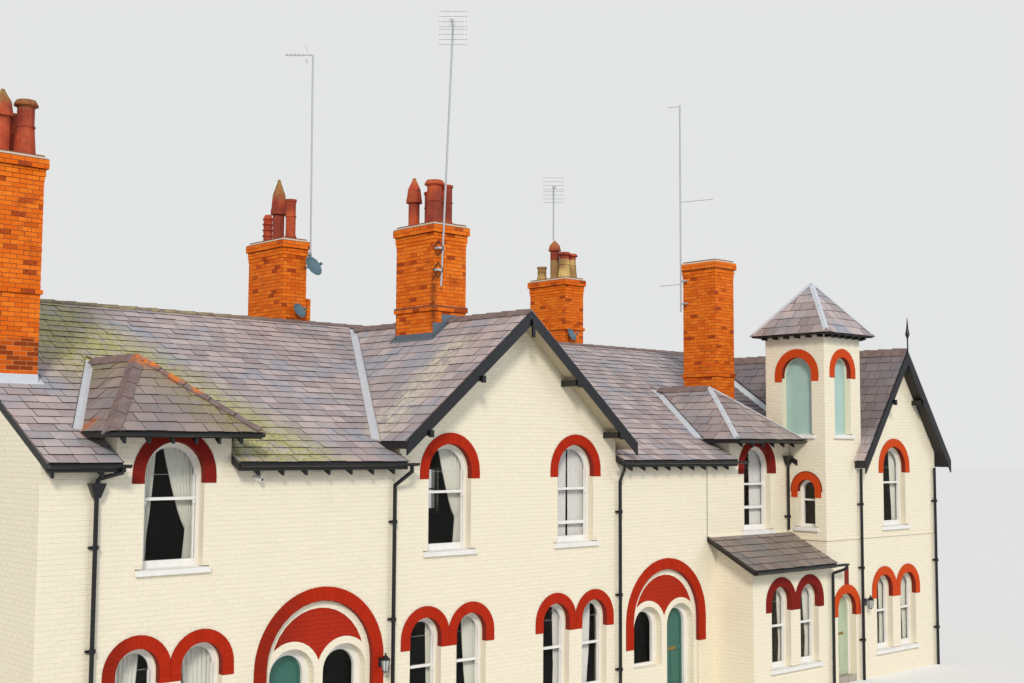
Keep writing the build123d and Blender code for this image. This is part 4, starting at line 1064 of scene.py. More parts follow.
def wall_faces():
    """The frame's solids near the walls as a search tree, with the node that each face belongs to."""
    verts, faces, owners = [], [], []
    for name, node in NODES.items():
        if name not in AWAY_FROM_WALLS:
            start = len(verts)
            verts += [node.matrix_world @ v.co for v in node.data.vertices]
            faces += [[start + i for i in face.vertices] for face in node.data.polygons]
            owners += [name] * len(node.data.polygons)
    return BVHTree.FromPolygons(verts, faces), owners


class WallPlane:
    """One upright face of the walls, with places along it and up it."""

    def __init__(self, axis, sign, level, along, up):
        self.outward = Vector((sign, 0, 0)) if axis == "x" else Vector((0, sign, 0))
        self.axis, self.level, self.along, self.up = axis, level, along, up

    def point(self, s, z, out=0.0):
        """The place at s along the plane and z up it."""
        place = Vector((self.level, s, z)) if self.axis == "x" else Vector((s, self.level, z))
        return place + self.outward * out

    def bare(self, tree, owners, s, z):
        """Whether the wall itself is seen at a place, with nothing on it and nothing cut out of it."""
        away = 0.03
        hit, _, index, distance = tree.ray_cast(self.point(s, z, away), -self.outward, 0.05)
        return hit is not None and abs(distance - away) < 0.0015 and owners[index] in FINISHES["cream_joint"]

    def covered(self, tree, s, z):
        """Whether something stands close in front of a place."""
        return tree.ray_cast(self.point(s, z, 0.002), self.outward, 0.12)[0] is not None


def lay_wall(bm, layer, plane, tree, owners, sizes, rng):
    """Bricks in stretcher bond over one wall, cut where something else begins."""
    parts, joint, margin = 8, 0.011, 0.008
    step = sizes.brick_length / parts
    row = int(plane.up[0] / COURSE)
    while row * COURSE < plane.up[1]:
        low, high = row * COURSE, (row + 1) * COURSE - joint
        start = plane.along[0] - (sizes.brick_length / 2 if row % 2 else 0)
        row += 1
        while start < plane.along[1]:
            runs, run = [], []
            for part in range(parts):
                a = start + part * step
                ends = (a + margin / 2, a + step - margin / 2)
                clear = plane.along[0] - 1e-6 <= a and a + step <= plane.along[1] + 1e-6 and all(
                    plane.bare(tree, owners, s, z) for s in ends for z in (low + margin, high - margin))
                if clear and not plane.covered(tree, a + step / 2, (low + high) / 2):
                    run.append(part)
                elif run:
                    runs.append(run)
                    run = []
            for run in runs + ([run] if run else []):
                if len(run) > 1:
                    first = start + run[0] * step + (joint / 2 if run[0] == 0 else 0.002)
                    last = start + (run[-1] + 1) * step - (joint / 2 if run[-1] == parts - 1 else 0.002)
                    add_brick_face(bm, layer, plane, (first, last), (low, high), rng)
            start += sizes.brick_length


def add_brick_face(bm, layer, plane, along, up, rng):
    """The flat face of one brick, a little behind the wall's surface, with its own shade."""
    places = ((along[0], up[0]), (along[1], up[0]), (along[1], up[1]), (along[0], up[1]))
    corners = [plane.point(s, z, -0.001) for s, z in places]
    if (corners[1] - corners[0]).cross(corners[2] - corners[1]).dot(plane.outward) < 0:
        corners.reverse()
    face = bm.faces.new([bm.verts.new(c) for c in corners])
    shade = rng.random()
    for loop in face.loops:
        loop[layer] = (shade, shade, shade, 1.0)


def raise_bricks(bm, rng):
    """Turns flat faces into bricks with worn arrises, each a little proud or back."""
    fronts = list(bm.faces)
    for face in fronts:
        face.normal_update()
    bmesh.ops.inset_individual(bm, faces=fronts, thickness=0.0045, depth=0.0045, use_even_offset=True)
    for face in fronts:
        out = face.normal.copy()
        proud = rng.uniform(-0.0016, 0.0016)
        for v in face.verts:
            v.co += out * (proud + rng.uniform(-0.0011, 0.0011))


class ROW_OT_wall_bricks(bpy.types.Operator):
    """Lay the painted bricks of the walls"""
    bl_idname = "row.wall_bricks"
    bl_label = "Wall Bricks"

    def execute(self, context):
        sizes = context.scene.row_sizes
        rng = random.Random(sizes.seed + 9)
        tree, owners = wall_faces()
        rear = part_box("rear_wall")[1].y
        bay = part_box("lean_to_wall")[0].x
        over_roof = (5.0, TURRET_HIGH.z)
        walls = {
            "front": (("y", -1, 0.0, (LEFT_END, TURRET_LOW.x), (0.0, GABLE_HIGH.z)),
                      ("y", -1, BAY_FACE, (bay, RIGHT_END), (0.0, WING_HIGH.z))),
            "ends": (("x", -1, LEFT_END, (0.0, rear), (0.0, RIDGE_Z)),
                     ("x", 1, RIGHT_END, (BAY_FACE, rear), (0.0, RIDGE_Z)),
                     ("x", -1, bay, (BAY_FACE, 0.0), (0.0, LEAN_HIGH.z)),
                     ("x", -1, TURRET_LOW.x, (BAY_FACE, TURRET_HIGH.y), (0.0, TURRET_HIGH.z)),
                     ("x", 1, TURRET_HIGH.x, (BAY_FACE, TURRET_HIGH.y), over_roof)),
            "rear": (("y", 1, rear, (LEFT_END, RIGHT_END), (0.0, EAVE_Z + 0.6)),
                     ("y", 1, TURRET_HIGH.y, (TURRET_LOW.x, TURRET_HIGH.x), over_roof)),
        }
        for name, planes in walls.items():
            bm = bmesh.new()
            layer = tone_layer(bm)
            for plane in planes:
                lay_wall(bm, layer, WallPlane(*plane), tree, owners, sizes, rng)
            raise_bricks(bm, rng)
            finish_piece(bm, f"wall_bricks_{name}", "cream_bricks", recalc=False)
        return {"FINISHED"}


# Stack bricks

def course_run(bm, layer, low, high, outward, z, height, sizes, rng, offset):
    """One course of bricks along one face of a stack, between two plan corners."""
    joint, back = 0.010, 0.02
    along = (high - low).normalized()
    length = (high - low).length
    s = -offset
    while s < length - 1e-6:
        a, b = max(s, 0), min(s + sizes.brick_length, length)
        if b - a > 0.03:
            start, end = low + along * (a + joint / 2 * (a > 0)), low + along * (b - joint / 2 * (b < length))
            proud = rng.uniform(0.003, 0.007)
            corners = [place + outward * out for place in (start, end) for out in (proud, -back)]
            xs, ys = [c.x for c in corners], [c.y for c in corners]
            box = ((max(min(xs), CAD_BOX[0][0]), min(ys), z), (max(xs), max(ys), z + height - joint))
            paint_tone(add_box(bm, *box), layer, rng.random())
        s += sizes.brick_length


def oversail(z, height, shaft_top, band, capped):
    """How far a course stands out of the shaft: in the cap, in the two steps under it or in the band."""
    if z >= shaft_top:
        return 0.06
    if capped and z > shaft_top - 2 * COURSE - 0.001:
        return 0.022
    if capped and z > shaft_top - 3 * COURSE - 0.001:
        return 0.010
    if band and band - 0.08 <= z + height / 2 <= band:
        return 0.035
    return 0.0


def brick_stack(bm, x, y, top, band, sizes, rng, capped=True):
    """Bricks on the faces of one stack above the roof, with its band and oversailing cap."""
    layer = tone_layer(bm)
    at_end = x[0] < LEFT_END + 0.01
    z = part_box("chimneys")[0].z if at_end else min(roof_height(a, b) for a in x for b in y) + 0.02
    number = 0
    shaft_top = top - 0.24 if capped else top
    while z < (top - 0.08 if capped else top - 0.01):
        height = COURSE if z + COURSE < shaft_top or z >= shaft_top else max(0.04, shaft_top - z)
        out = oversail(z, height, shaft_top, band, capped)
        x0, x1, y0, y1 = x[0] - out, x[1] + out, y[0] - out, y[1] + out
        faces = (((x0, y0), (x1, y0), (0, -1)), ((x0, y1), (x1, y1), (0, 1)),
                 ((x0, y0), (x0, y1), (-1, 0)), ((x1, y0), (x1, y1), (1, 0)))
        for index, (a, b, outward) in enumerate(faces):
            buried = z + height < min(roof_height(*a), roof_height(*b)) - 0.05
            if not buried or (at_end and outward[0] < 0):
                shift = sizes.brick_length * (0.5 if number % 2 else 0.0) + (0.11 if index > 1 else 0)
                course_run(bm, layer, Vector(a), Vector(b), Vector(outward), z, height, sizes, rng, shift)
        z += height
        number += 1


class ROW_OT_stacks(bpy.types.Operator):
    """Lay the bricks of the chimney stacks"""
    bl_idname = "row.stacks"
    bl_label = "Stacks"

    def execute(self, context):
        sizes = context.scene.row_sizes
        rng = random.Random(sizes.seed + 2)
        bm = bmesh.new()
        for stack in STACKS.values():
            brick_stack(bm, *stack, sizes, rng)
        brick_stack(bm, *SHOULDER, sizes, rng, False)
        finish_piece(bm, "stack_bricks", "brick", recalc=False)
        return {"FINISHED"}


# Joinery

def window_bars(bm, x, y, half, foot, spring, rail):
    """Sash stiles, horns, rails and the arched head inside one window frame."""
    face = y + 0.17
    for side in (-1, 1):
        inner = side * (half - 0.075)
        for width, front, back, low, high in (
                (0.03, 0.010, 0.045, foot + 0.05, spring), (0.045, -0.012, 0.02, rail - 0.07, rail)):
            edges = sorted((inner, inner - side * width))
            add_box(bm, (x + edges[0], face + front, low), (x + edges[1], face + back, high))
    add_box(bm, (x - half + 0.07, face - 0.012, rail - 0.004), (x + half - 0.07, face + 0.02, rail + 0.034))
    add_box(bm, (x - half + 0.06, face + 0.005, foot + 0.045), (x + half - 0.06, face + 0.045, foot + 0.115))
    arc_run(bm, x, spring, (half - 0.052, half - 0.088), (face + 0.008, face + 0.045), 14)


def arc_run(bm, x, spring, radii, y, parts):
    """A half ring of straight lengths, between an outer and an inner radius and two depths."""
    for i in range(parts):
        a, b = (math.pi * (i + k) / parts for k in (0, 1))
        p = [ring_point(x, spring, r, angle) for r in radii for angle in (a, b)]
        for v in bmesh.ops.create_cube(bm, size=1.0)["verts"]:
            index = (0 if v.co.x > 0 else 2) + (1 if v.co.z > 0 else 0)
            v.co = Vector((p[index][0], y[0] if v.co.y < 0 else y[1], p[index][1]))


def entrance_linings():
    """Deep linings in front of the frames of the entrance doors and of the windows beside them."""
    lining, y0, y1 = 0.125, 0.262, 0.332
    clear = ENTRANCE_HALF - lining
    bm = bmesh.new()
    for x in ENTRANCES:
        for offset in (-ENTRANCE_APART, ENTRANCE_APART):
            is_door = offset * x > 0
            foot = 0.152 if is_door else 0.905
            middle = x + offset
            for side in (-1, 1):
                edges = sorted((middle + side * ENTRANCE_HALF, middle + side * clear))
                add_box(bm, (edges[0], y0, foot), (edges[1], y1, ENTRANCE_SPRING))
            arc_run(bm, middle, ENTRANCE_SPRING, (ENTRANCE_HALF, clear), (y0, y1), 20)
            if not is_door:
                add_box(bm, (middle - clear, y0, foot), (middle + clear, y1, foot + 0.07))
    finish_piece(bm, "entrance_linings", "white")


def door_furniture(node, body, side):
    """The knob and lock of a door, on the side away from its hinges, and the letter flap in its middle."""
    low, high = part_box(node)
    middle = (low.x + high.x) / 2
    knob, y, knob_z, lock_z, flap_z = middle + side * ((high.x - low.x) / 2 - 0.06), low.y, 1.05, 1.22, 1.185
    bm = bmesh.new()
    add_rod(bm, (knob, y - 0.030, knob_z), (knob, y + 0.005, knob_z), 0.010, 12)
    add_ball(bm, (knob, y - 0.038, knob_z), 0.026, 16, 8)
    add_rod(bm, (knob, y - 0.004, lock_z), (knob, y + 0.004, lock_z), 0.016, 16)
    flap = add_box(bm, (middle - 0.13, y - 0.008, flap_z - 0.03), (middle + 0.13, y + 0.004, flap_z + 0.03))
    bmesh.ops.bevel(
        bm, geom=list({e for v in flap for e in v.link_edges}), offset=0.003, affect="EDGES", segments=2,
        profile=0.5, material=-1)
    finish_piece(bm, f"{node}_furniture", "brass", body=body)


class ROW_OT_joinery(bpy.types.Operator):
    """Make the sash bars and the doors' furniture"""
    bl_idname = "row.joinery"
    bl_label = "Joinery"

    def execute(self, context):
        bm = bmesh.new()
        for x, y in UPPER_WINDOWS:
            window_bars(bm, x, y, UPPER_HALF, UPPER_SILL, UPPER_SPRING, UPPER_RAIL)
        for x, y, _ in TWIN_LIGHTS:
            window_bars(bm, x, y, TWIN_HALF, TWIN_SILL, TWIN_SPRING, TWIN_RAIL)
        for x, raised in ((GABLE_WINDOWS[1], 4.21), (DORMER_WINDOWS[1], 4.355)):
            add_box(bm, (x - 0.47, 0.185, raised - 0.035), (x + 0.47, 0.225, raised + 0.035))
        finish_piece(bm, "sash_bars", "white")
        entrance_linings()
        for side, name in ((1, "left"), (-1, "right"), (-1, "turret")):
            door_furniture(f"door_{name}", f"{name}_door", side)
        return {"FINISHED"}


# Curtains: their widths at the head, at the tie and at the foot

UPPER_SHEETS = (
    ((0.32, 0.18, 0.16), (0.62, 0.16, 0.22)), ((0.14, 0.09, 0.10), (0.62, 0.16, 0.22)),
    ((0.50, 0.49, 0.49), (0.50, 0.49, 0.49)), ((0.14, 0.09, 0.10), (0.50, 0.49, 0.49)),
    ((0.14, 0.09, 0.10), (0.34, 0.24, 0.22)))
TWIN_SHEETS = (
    (0.52, 0.40, 0.36), (0.60, 0.50, 0.44), (0.16, 0.12, 0.14), (0.40, 0.30, 0.26), (0.22, 0.18, 0.20),
    (0.52, 0.46, 0.40), (0.18, 0.10, 0.14), (0.30, 0.16, 0.20), (0.22, 0.18, 0.20), (0.30, 0.22, 0.20))


def pleat_depth(width, cut, pleats):
    """How deep pleats are that take up a cut width of cloth."""
    low, high, count = 0.0, cut / pleats, 200
    for _ in range(30):
        depth = (low + high) / 2
        waves = [2 * math.pi * pleats * i / count for i in range(count + 1)]
        points = [Vector((width * i / count, depth * math.sin(wave))) for i, wave in enumerate(waves)]
        if sum((b - a).length for a, b in zip(points, points[1:])) < cut:
            low = depth
        else:
            high = depth
    return low


def hang_curtain(name, side, y, foot, arch_head, widths, pleats, material, tie):
    """A gathered curtain in an opening, hung from the left edge where side is 1. The arched head has a centre,
    a spring and a radius, and the widths are those at the head, at the tie and at the foot."""
    columns, rows, fullness = pleats * 10, 14, 1.25
    cut = widths[0] * fullness
    centre, spring, radius = arch_head
    edge = centre - side * radius
    bm = bmesh.new()
    uv = bm.loops.layers.uv.new("UVMap")
    made = bmesh.ops.create_grid(bm, x_segments=columns, y_segments=rows, size=0.5)["verts"]
    depths, heads = {}, {}
    for v in made:
        across, up = v.co.x + 0.5, v.co.y + 0.5
        head_x = edge + side * widths[0] * across
        head = spring + math.sqrt(max(0.0, radius ** 2 - (head_x - centre) ** 2))
        heads[round(across * columns)] = head
        t = (up - tie) / (1 - tie) if up > tie else (tie - up) / tie
        end = widths[0] if up > tie else widths[2]
        width = widths[1] + (end - widths[1]) * t ** 0.75
        row = round(up * rows)
        if row not in depths:
            depths[row] = pleat_depth(width, cut, pleats)
        swing = depths[row] * math.sin(2 * math.pi * pleats * across)
        v.co = Vector((edge + side * width * across, y + swing, foot + (head - foot) * up))
        v.index = round(across * columns) * (rows + 1) + row
    for face in bm.faces:
        for loop in face.loops:
            column, row = divmod(loop.vert.index, rows + 1)
            loop[uv].uv = (column / columns * cut, row / rows * (heads[column] - foot))
    piece = finish_piece(bm, name, material)


class ROW_OT_curtains(bpy.types.Operator):
    """Hang the curtains and their wires"""
    bl_idname = "row.curtains"
    bl_label = "Curtains"

    def execute(self, context):
        sizes = context.scene.row_sizes
        pleats = sizes.pleats
        back, clear = 0.285, 0.03
        bm = bmesh.new()
        wires = [(x, y, UPPER_HALF, UPPER_SPRING) for x, y in UPPER_WINDOWS]
        wires += [(x, y, TWIN_HALF, TWIN_SPRING) for x, y, _ in TWIN_LIGHTS]
        for x, y, half, z in wires:
            add_rod(bm, (x - half + 0.01, y + back, z), (x + half - 0.01, y + back, z), 0.003, 6)
        wire = finish_piece(bm, "curtain_wires", "white")
        for index, (x, y) in enumerate(UPPER_WINDOWS):
            cloth = "net" if index in (2, 3) else "curtain"
            head = (x, UPPER_SPRING, UPPER_HALF - 0.02)
            for side, mark, widths in zip((1, -1), "ab", UPPER_SHEETS[index]):
                name = f"upper_curtain_{index}_{mark}"
                hang_curtain(name, side, y + back, UPPER_SILL + clear, head, widths, pleats, cloth, 0.28)
        for number, (x, y, _) in enumerate(TWIN_LIGHTS):
            index, light = divmod(number, 2)
            name = f"lower_curtain_{index}_{'ab'[light]}"
            side = 1 if number in (0, 5) else -1
            cloth = "net" if index == 2 else "curtain"
            head, widths = (x, TWIN_SPRING, TWIN_HALF - 0.015), TWIN_SHEETS[number]
            hang_curtain(name, side, y + back, TWIN_SILL + clear, head, widths, pleats, cloth, 0.30)
        return {"FINISHED"}


# Eaves, leads and small fittings

def rafter_foot(bm, x, outer, inner, height, under):
    """The end of one rafter under a slope, between two places in y."""
    for v in bmesh.ops.create_cube(bm, size=1.0)["verts"]:
        y = outer if v.co.y < 0 else inner
        v.co = Vector((x + v.co.x * 0.05, y, height(x, y) - under - (0.0 if v.co.z > 0 else 0.095)))


def turret_feet(bm):
    """Level rafter ends round the front and sides of the turret."""
    low, high = TURRET_LOW, TURRET_HIGH
    outer, edge, half = 0.04, 0.05, 0.025
    bottom, top = high.z - 0.11, high.z - 0.045
    for i in range(6):
        x = low.x + edge + (high.x - low.x - 2 * edge) * i / 5
        y = low.y + edge + (high.y - low.y - 2 * edge) * i / 5
        add_box(bm, (x - half, TURRET_ROOF_LOW.y + outer, bottom), (x + half, low.y, top))
        add_box(bm, (TURRET_ROOF_LOW.x + outer, y - half, bottom), (low.x, y + half, top))
        add_box(bm, (high.x, y - half, bottom), (TURRET_ROOF_HIGH.x - outer, y + half, top))


class ROW_OT_eaves(bpy.types.Operator):
    """Set the rafter feet under the eaves"""
    bl_idname = "row.eaves"
    bl_label = "Rafter feet"

    def execute(self, context):
        sizes = context.scene.row_sizes
        spacing = sizes.rafter_spacing
        under, gable_foot = 0.13 / math.cos(math.atan(MAIN_RISE)), 3.3
        back, inside_face = 0.03, 0.01
        bm = bmesh.new()
        for low, high in ((LEFT_END + 0.1, DORMERS[0][0]), (DORMERS[0][1] + 0.1, -gable_foot),
                          (gable_foot, DORMERS[1][0] - 0.05)):
            count = max(1, int((high - low) / spacing))
            for i in range(count + 1):
                x = low + (high - low) * i / count
                rafter_foot(bm, x, EAVE_Y + back, inside_face, main_front, under)
        x = LEFT_END + 0.2
        while x < RIGHT_END - 0.1:
            rafter_foot(bm, x, REAR_EAVE_Y - back, REAR_EAVE_Y + EAVE_Y - inside_face, main_rear, under)
            x += spacing
        for span in DORMERS:
            x = span[0] + 0.25
            while x < span[1] - 0.2 and x <= TURRET_LOW.x - 0.05:
                rafter_foot(bm, x, DORMER_FRONT + back, inside_face, dormer_slopes(span)[2], 0.12)
                x += spacing
        turret_feet(bm)
        finish_piece(bm, "rafter_feet", "black")
        return {"FINISHED"}


def turret_height(x, y):
    """Height of the turret's pyramid."""
    middle = (TURRET_ROOF_LOW + TURRET_ROOF_HIGH) / 2
    across = abs(x - middle.x) / (TURRET_ROOF_HIGH.x - middle.x)
    deep = abs(y - middle.y) / (TURRET_ROOF_HIGH.y - middle.y)
    return TURRET_ROOF_HIGH.z - (TURRET_ROOF_HIGH.z - TURRET_BASE) * max(across, deep)


def turret_hips(bm):
    """Lead over the turret's four hips, and the cap at its tip."""
    low, high = TURRET_ROOF_LOW, TURRET_ROOF_HIGH
    middle = (low + high) / 2
    for x in (low.x, high.x):
        for y in (low.y, high.y):
            foot, tip = Vector((x, y)), Vector((middle.x, middle.y))
            for i in range(2):
                a, b = foot.lerp(tip, 0.02 + 0.48 * i), foot.lerp(tip, 0.49 + 0.48 * i)
                laid_cap(bm, a, b, 0.075, (0.048, 0.048), 0.008, turret_height)
    bmesh.ops.create_cone(
        bm, cap_ends=True, segments=12, radius1=0.10, radius2=0.012, depth=0.13,
        matrix=Matrix.Translation((middle.x, middle.y, high.z - 0.062)))


def dormer_hips(bm):
    """Lead over the two hips of the right half-dormer."""
    head, count = Vector((sum(DORMERS[1]) / 2, DORMER_HIP_Y)), 4
    for x in DORMERS[1]:
        foot = Vector((x, DORMER_FRONT))
        for i in range(count):
            a, b = foot.lerp(head, i / count), foot.lerp(head, (i + 0.98) / count)
            laid_cap(bm, a, b, 0.065, (0.050, 0.046), 0.008)


def flashing(bm, x, y):
    """Stepped lead up the sides of a stack and across its front and back."""
    proud, thickness, lap = 0.010, 0.02, 0.05
    for side_x, sign in ((x[0] - proud, -1), (x[1] + proud, 1)):
        if side_x > LEFT_END:
            for a, b in steps_along(y[0], y[1], 7):
                base = min(roof_height(side_x + sign * thickness, place) for place in (a, b))
                top = max(roof_height(side_x, place) for place in (a, b)) + 0.13
                inner, outer = sorted((side_x, side_x - sign * thickness))
                add_box(bm, (inner, a, base - lap), (outer, b, top))
    for face_y, sign in ((y[0] - proud, -1), (y[1] + proud, 1)):
        for a, b in steps_along(max(x[0] - proud, LEFT_END), x[1] + proud, 4):
            heights = [roof_height(place, face_y) for place in (a, b)]
            inner, outer = sorted((face_y, face_y - sign * thickness))
            add_box(bm, (a, inner, min(heights) - lap), (b, outer, max(heights) + 0.15))


def steps_along(low, high, count):
    """The ends of each of some equal steps."""
    return [(low + (high - low) * i / count, low + (high - low) * (i + 1) / count) for i in range(count)]


class ROW_OT_leads(bpy.types.Operator):
    """Dress the lead over hips and round the stacks"""
    bl_idname = "row.leads"
    bl_label = "Leads"

    def execute(self, context):
        bm = bmesh.new()
        turret_hips(bm)
        dormer_hips(bm)
        for x, y, *_ in STACKS.values():
            flashing(bm, x, y)
        finish_piece(bm, "dressed_leads", "lead")
        return {"FINISHED"}


# Downpipes: their places, the walls they stand on and the heights of their brackets

BRACKETS = (
    (-9.05, 0, (1.0, 2.6, 4.2)), (-3.17, 0, (1.0, 2.6, 4.4)), (3.06, 0, (1.0, 2.6, 4.4)), (9.33, 0, (4.1,)),
    (10.95, BAY_FACE, (1.0, 2.8, 4.4)), (14.6, BAY_FACE, (1.0, 2.8, 4.4)))
# Pointed cowls: their middles, the foot and the tip of the louvres, and their reach

COWLS = (
    (-0.29, 3.08, 11.29, 11.80, 0.170), (-1.40, 6.90, 11.38, 12.17, 0.185),
    (-9.65, 2.80, 11.54, 11.97, 0.185))
STAY_TURN = math.radians(42.7)


def spokes(count):
    """Level directions that are spread round a circle."""
    angles = [2 * math.pi * i / count for i in range(count)]
    return [Vector((math.cos(angle), math.sin(angle), 0)) for angle in angles]


def pipe_brackets(bm):
    """The brackets and collars of the downpipes."""
    for x, y, heights in BRACKETS:
        for z in heights:
            add_box(bm, (x - 0.085, y - 0.05, z - 0.02), (x + 0.085, y, z + 0.02))
            add_rod(bm, (x, y - 0.09, z - 0.035), (x, y - 0.09, z + 0.035), 0.052, 12)


def wall_eye():
    """The small camera under the eaves, and the cable clipped down the wall beside the lean-to."""
    x, z = -6.13, 5.24
    bm = bmesh.new()
    add_box(bm, (x - 0.035, -0.02, z + 0.02), (x + 0.035, 0.004, z + 0.12))
    add_rod(bm, (x, -0.01, z + 0.07), (x, -0.055, z + 0.04), 0.014, 8)
    add_rod(bm, (x - 0.02, 0.0, z + 0.02), (x + 0.035, -0.15, z - 0.015), 0.042, 14)
    finish_piece(bm, "eye_body", "white")
    bm = bmesh.new()
    add_rod(bm, (x + 0.035, -0.149, z - 0.0148), (x + 0.0365, -0.154, z - 0.016), 0.028, 14)
    add_rod(bm, (6.17, -0.006, 3.62), (6.18, -0.006, 5.42), 0.006, 6)
    finish_piece(bm, "eye_lens_and_cable", "black")


def lean_to_fillet():
    """The painted fillet where the lean-to's slates meet the wall."""
    bm = bmesh.new()
    add_box(bm, (LEAN_LOW.x + 0.05, -0.05, LEAN_HIGH.z - 0.06), (TURRET_LOW.x, 0.002, LEAN_HIGH.z + 0.035))
    finish_piece(bm, "lean_to_fillet", "cream")


def outlets(bm):
    """The bent pipes between the gutters' ends and the downpipes."""
    left, right = EAVE_Y - 0.06, LEAN_LOW.y - 0.06
    wall = BAY_FACE - 0.083
    high = EAVE_Z - 0.07
    for bends in (
            ((-8.72, left, high), (-8.72, left, high - 0.07), (-9.03, -0.09, 5.27), (-9.05, -0.083, 5.15)),
            ((9.86, right, 2.93), (9.86, right, 2.86), (9.62, wall, 2.74), (9.62, wall, 2.66))):
        add_chain(bm, bends, 0.036, 10)


def mast_stay(bm, middle, half, tall):
    """A diamond-shaped iron stay between a mast and its stack."""
    turn = Vector((math.cos(STAY_TURN), -math.sin(STAY_TURN), 0)) * half
    middle, rise = Vector(middle), Vector((0, 0, tall))
    add_chain(bm, [middle + turn, middle + rise, middle - turn, middle - rise, middle + turn], 0.011, 6)


def cowl_ribs():
    """The louvres of the pointed cowls."""
    bm = bmesh.new()
    for x, y, skirt, tip, radius in COWLS:
        for out in spokes(10):
            middle = Vector((x, y, 0))
            foot = middle + out * radius + Vector((0, 0, skirt))
            add_rod(bm, foot, middle + out * 0.02 + Vector((0, 0, tip)), 0.014, 4)
    finish_piece(bm, "cowl_ribs", "pots")


def wall_lantern(bm, panes, x, y, z):
    """A six-sided lantern on an arm: back plate, arm, base, panes, bars, roof and knob."""
    bottom, top = z - 0.14, z + 0.06
    add_box(bm, (x - 0.05, y - 0.02, z - 0.09), (x + 0.05, y, z + 0.09))
    add_rod(bm, (x, y - 0.01, z + 0.03), (x, y - 0.16, z + 0.10), 0.012)
    y -= 0.16
    add_rod(bm, (x, y, z - 0.165), (x, y, bottom), 0.03, 6, 0.058)
    add_rod(panes, (x, y, bottom), (x, y, top), 0.053, 6, 0.083)
    for out in spokes(6):
        add_rod(bm, Vector((x, y, bottom)) + out * 0.055, Vector((x, y, top)) + out * 0.085, 0.006, 4)
    add_rod(bm, (x, y, top), (x, y, z + 0.15), 0.10, 6, 0.02)
    add_ball(bm, (x, y, z + 0.17), 0.02, 8, 6)


class ROW_OT_fittings(bpy.types.Operator):
    """Hang the wall lanterns and fit the cowls' louvres and pipe brackets"""
    bl_idname = "row.fittings"
    bl_label = "Fittings"

    def execute(self, context):
        bm, panes = bmesh.new(), bmesh.new()
        for place in ((-3.40, 0.0, 1.83), (11.17, BAY_FACE, 1.92)):
            wall_lantern(bm, panes, *place)
        finish_piece(panes, "lantern_panes", "frosted")
        pipe_brackets(bm)
        outlets(bm)
        for z in (9.62, 10.10):
            mast_stay(bm, (-0.43, 2.04, z), 0.11, 0.17)
        finish_piece(bm, "wall_ironwork", "iron")
        cowl_ribs()
        wall_eye()
        lean_to_fillet()
        return {"FINISHED"}


# Stage

def pale_floor():
    """Matt studio floor, pale grey and nearly white to the camera."""
    coat = Coat("Studio floor, matt paint", 0.9)
    coat.body = coat.mix(coat.noise(0.15), "#CFD0CF", "#DADBDA")
    coat.over(coat.node("ShaderNodeLightPath", output="Is Camera Ray"), "#F0F1F0")
    return coat.done()


def add_stage_object(name, data):
    """Puts an object of the stage in the scene."""
    item = bpy.data.objects.new(name, data)
    bpy.context.scene.collection.objects.link(item)
    return item


def lamp(name, place, angle, strength, colour):
    """A sun that shines from a place towards the houses."""
    light = bpy.data.lights.new(name, "SUN")
    light.energy = strength
    light.angle = math.radians(angle)
    light.color = linear(colour)
    item = add_stage_object(name, light)
    item.location = place
    target = Vector((2, 3, 4))
    item.rotation_euler = (target - Vector(place)).to_track_quat("-Z", "Y").to_euler()


def sky(scene):
    """A cool light from all round, and the paler backdrop that the camera sees."""
    world = bpy.data.worlds.new("studio_backdrop")
    scene.world = world
    world.use_nodes = True
    tree = world.node_tree
    tree.nodes.clear()
    light = add_node(tree, "ShaderNodeBackground", {"Color": rgba("#E9EDF3"), "Strength": 0.58})
    seen = add_node(tree, "ShaderNodeBackground", {"Color": rgba("#E9EAEA"), "Strength": 0.95})
    paths = add_node(tree, "ShaderNodeLightPath", output=None).outputs
    either = add_node(
        tree, "ShaderNodeMath", (paths["Is Camera Ray"], paths["Is Transmission Ray"]), operation="MAXIMUM")
    backdrop = add_node(tree, "ShaderNodeMixShader", (either, light, seen))
    add_node(tree, "ShaderNodeOutputWorld", (backdrop,), None)


def camera(scene):
    """The camera of the photograph, found from the houses' parallel edges."""
    data = bpy.data.cameras.new("camera")
    data.sensor_width, data.lens, data.clip_end = 36.0, 45.53, 500.0
    item = bpy.data.objects.new("camera", data)
    scene.collection.objects.link(item)
    yaw, pitch, roll = (math.radians(a) for a in (42.736, 4.666, 0.294))
    right = Vector((math.cos(yaw), -math.sin(yaw), 0))
    ahead = Vector((math.sin(yaw) * math.cos(pitch), math.cos(yaw) * math.cos(pitch), math.sin(pitch)))
    up = right.cross(ahead)
    turned_right = right * math.cos(roll) + up * math.sin(roll)
    turned_up = up * math.cos(roll) - right * math.sin(roll)
    turn = Matrix((turned_right, turned_up, -ahead)).transposed().to_4x4()
    eye = (-18.143, -19.5, 5.8)
    item.matrix_world = Matrix.Translation(eye) @ turn
    scene.camera = item


class ROW_OT_stage(bpy.types.Operator):
    """Set the floor, backdrop, lights and camera"""
    bl_idname = "row.stage"
    bl_label = "Stage"

    def execute(self, context):
        scene = bpy.context.scene
        bm = bmesh.new()
        bmesh.ops.create_grid(bm, x_segments=1, y_segments=1, size=400.0)
        mesh = bpy.data.meshes.new("studio_floor")
        bm.to_mesh(mesh)
        bm.free()
        mesh.materials.append(pale_floor())
        add_stage_object("studio_floor", mesh)
        lamp("key", (-42, -46, 46), 12.0, 2.1, "#FFF6EC")
        lamp("fill", (40, -50, 30), 30.0, 0.55, "#E9F1FF")
        sky(scene)
        camera(scene)
        scene.view_settings.view_transform = "Standard"
        return {"FINISHED"}


# Finishes of the CAD nodes

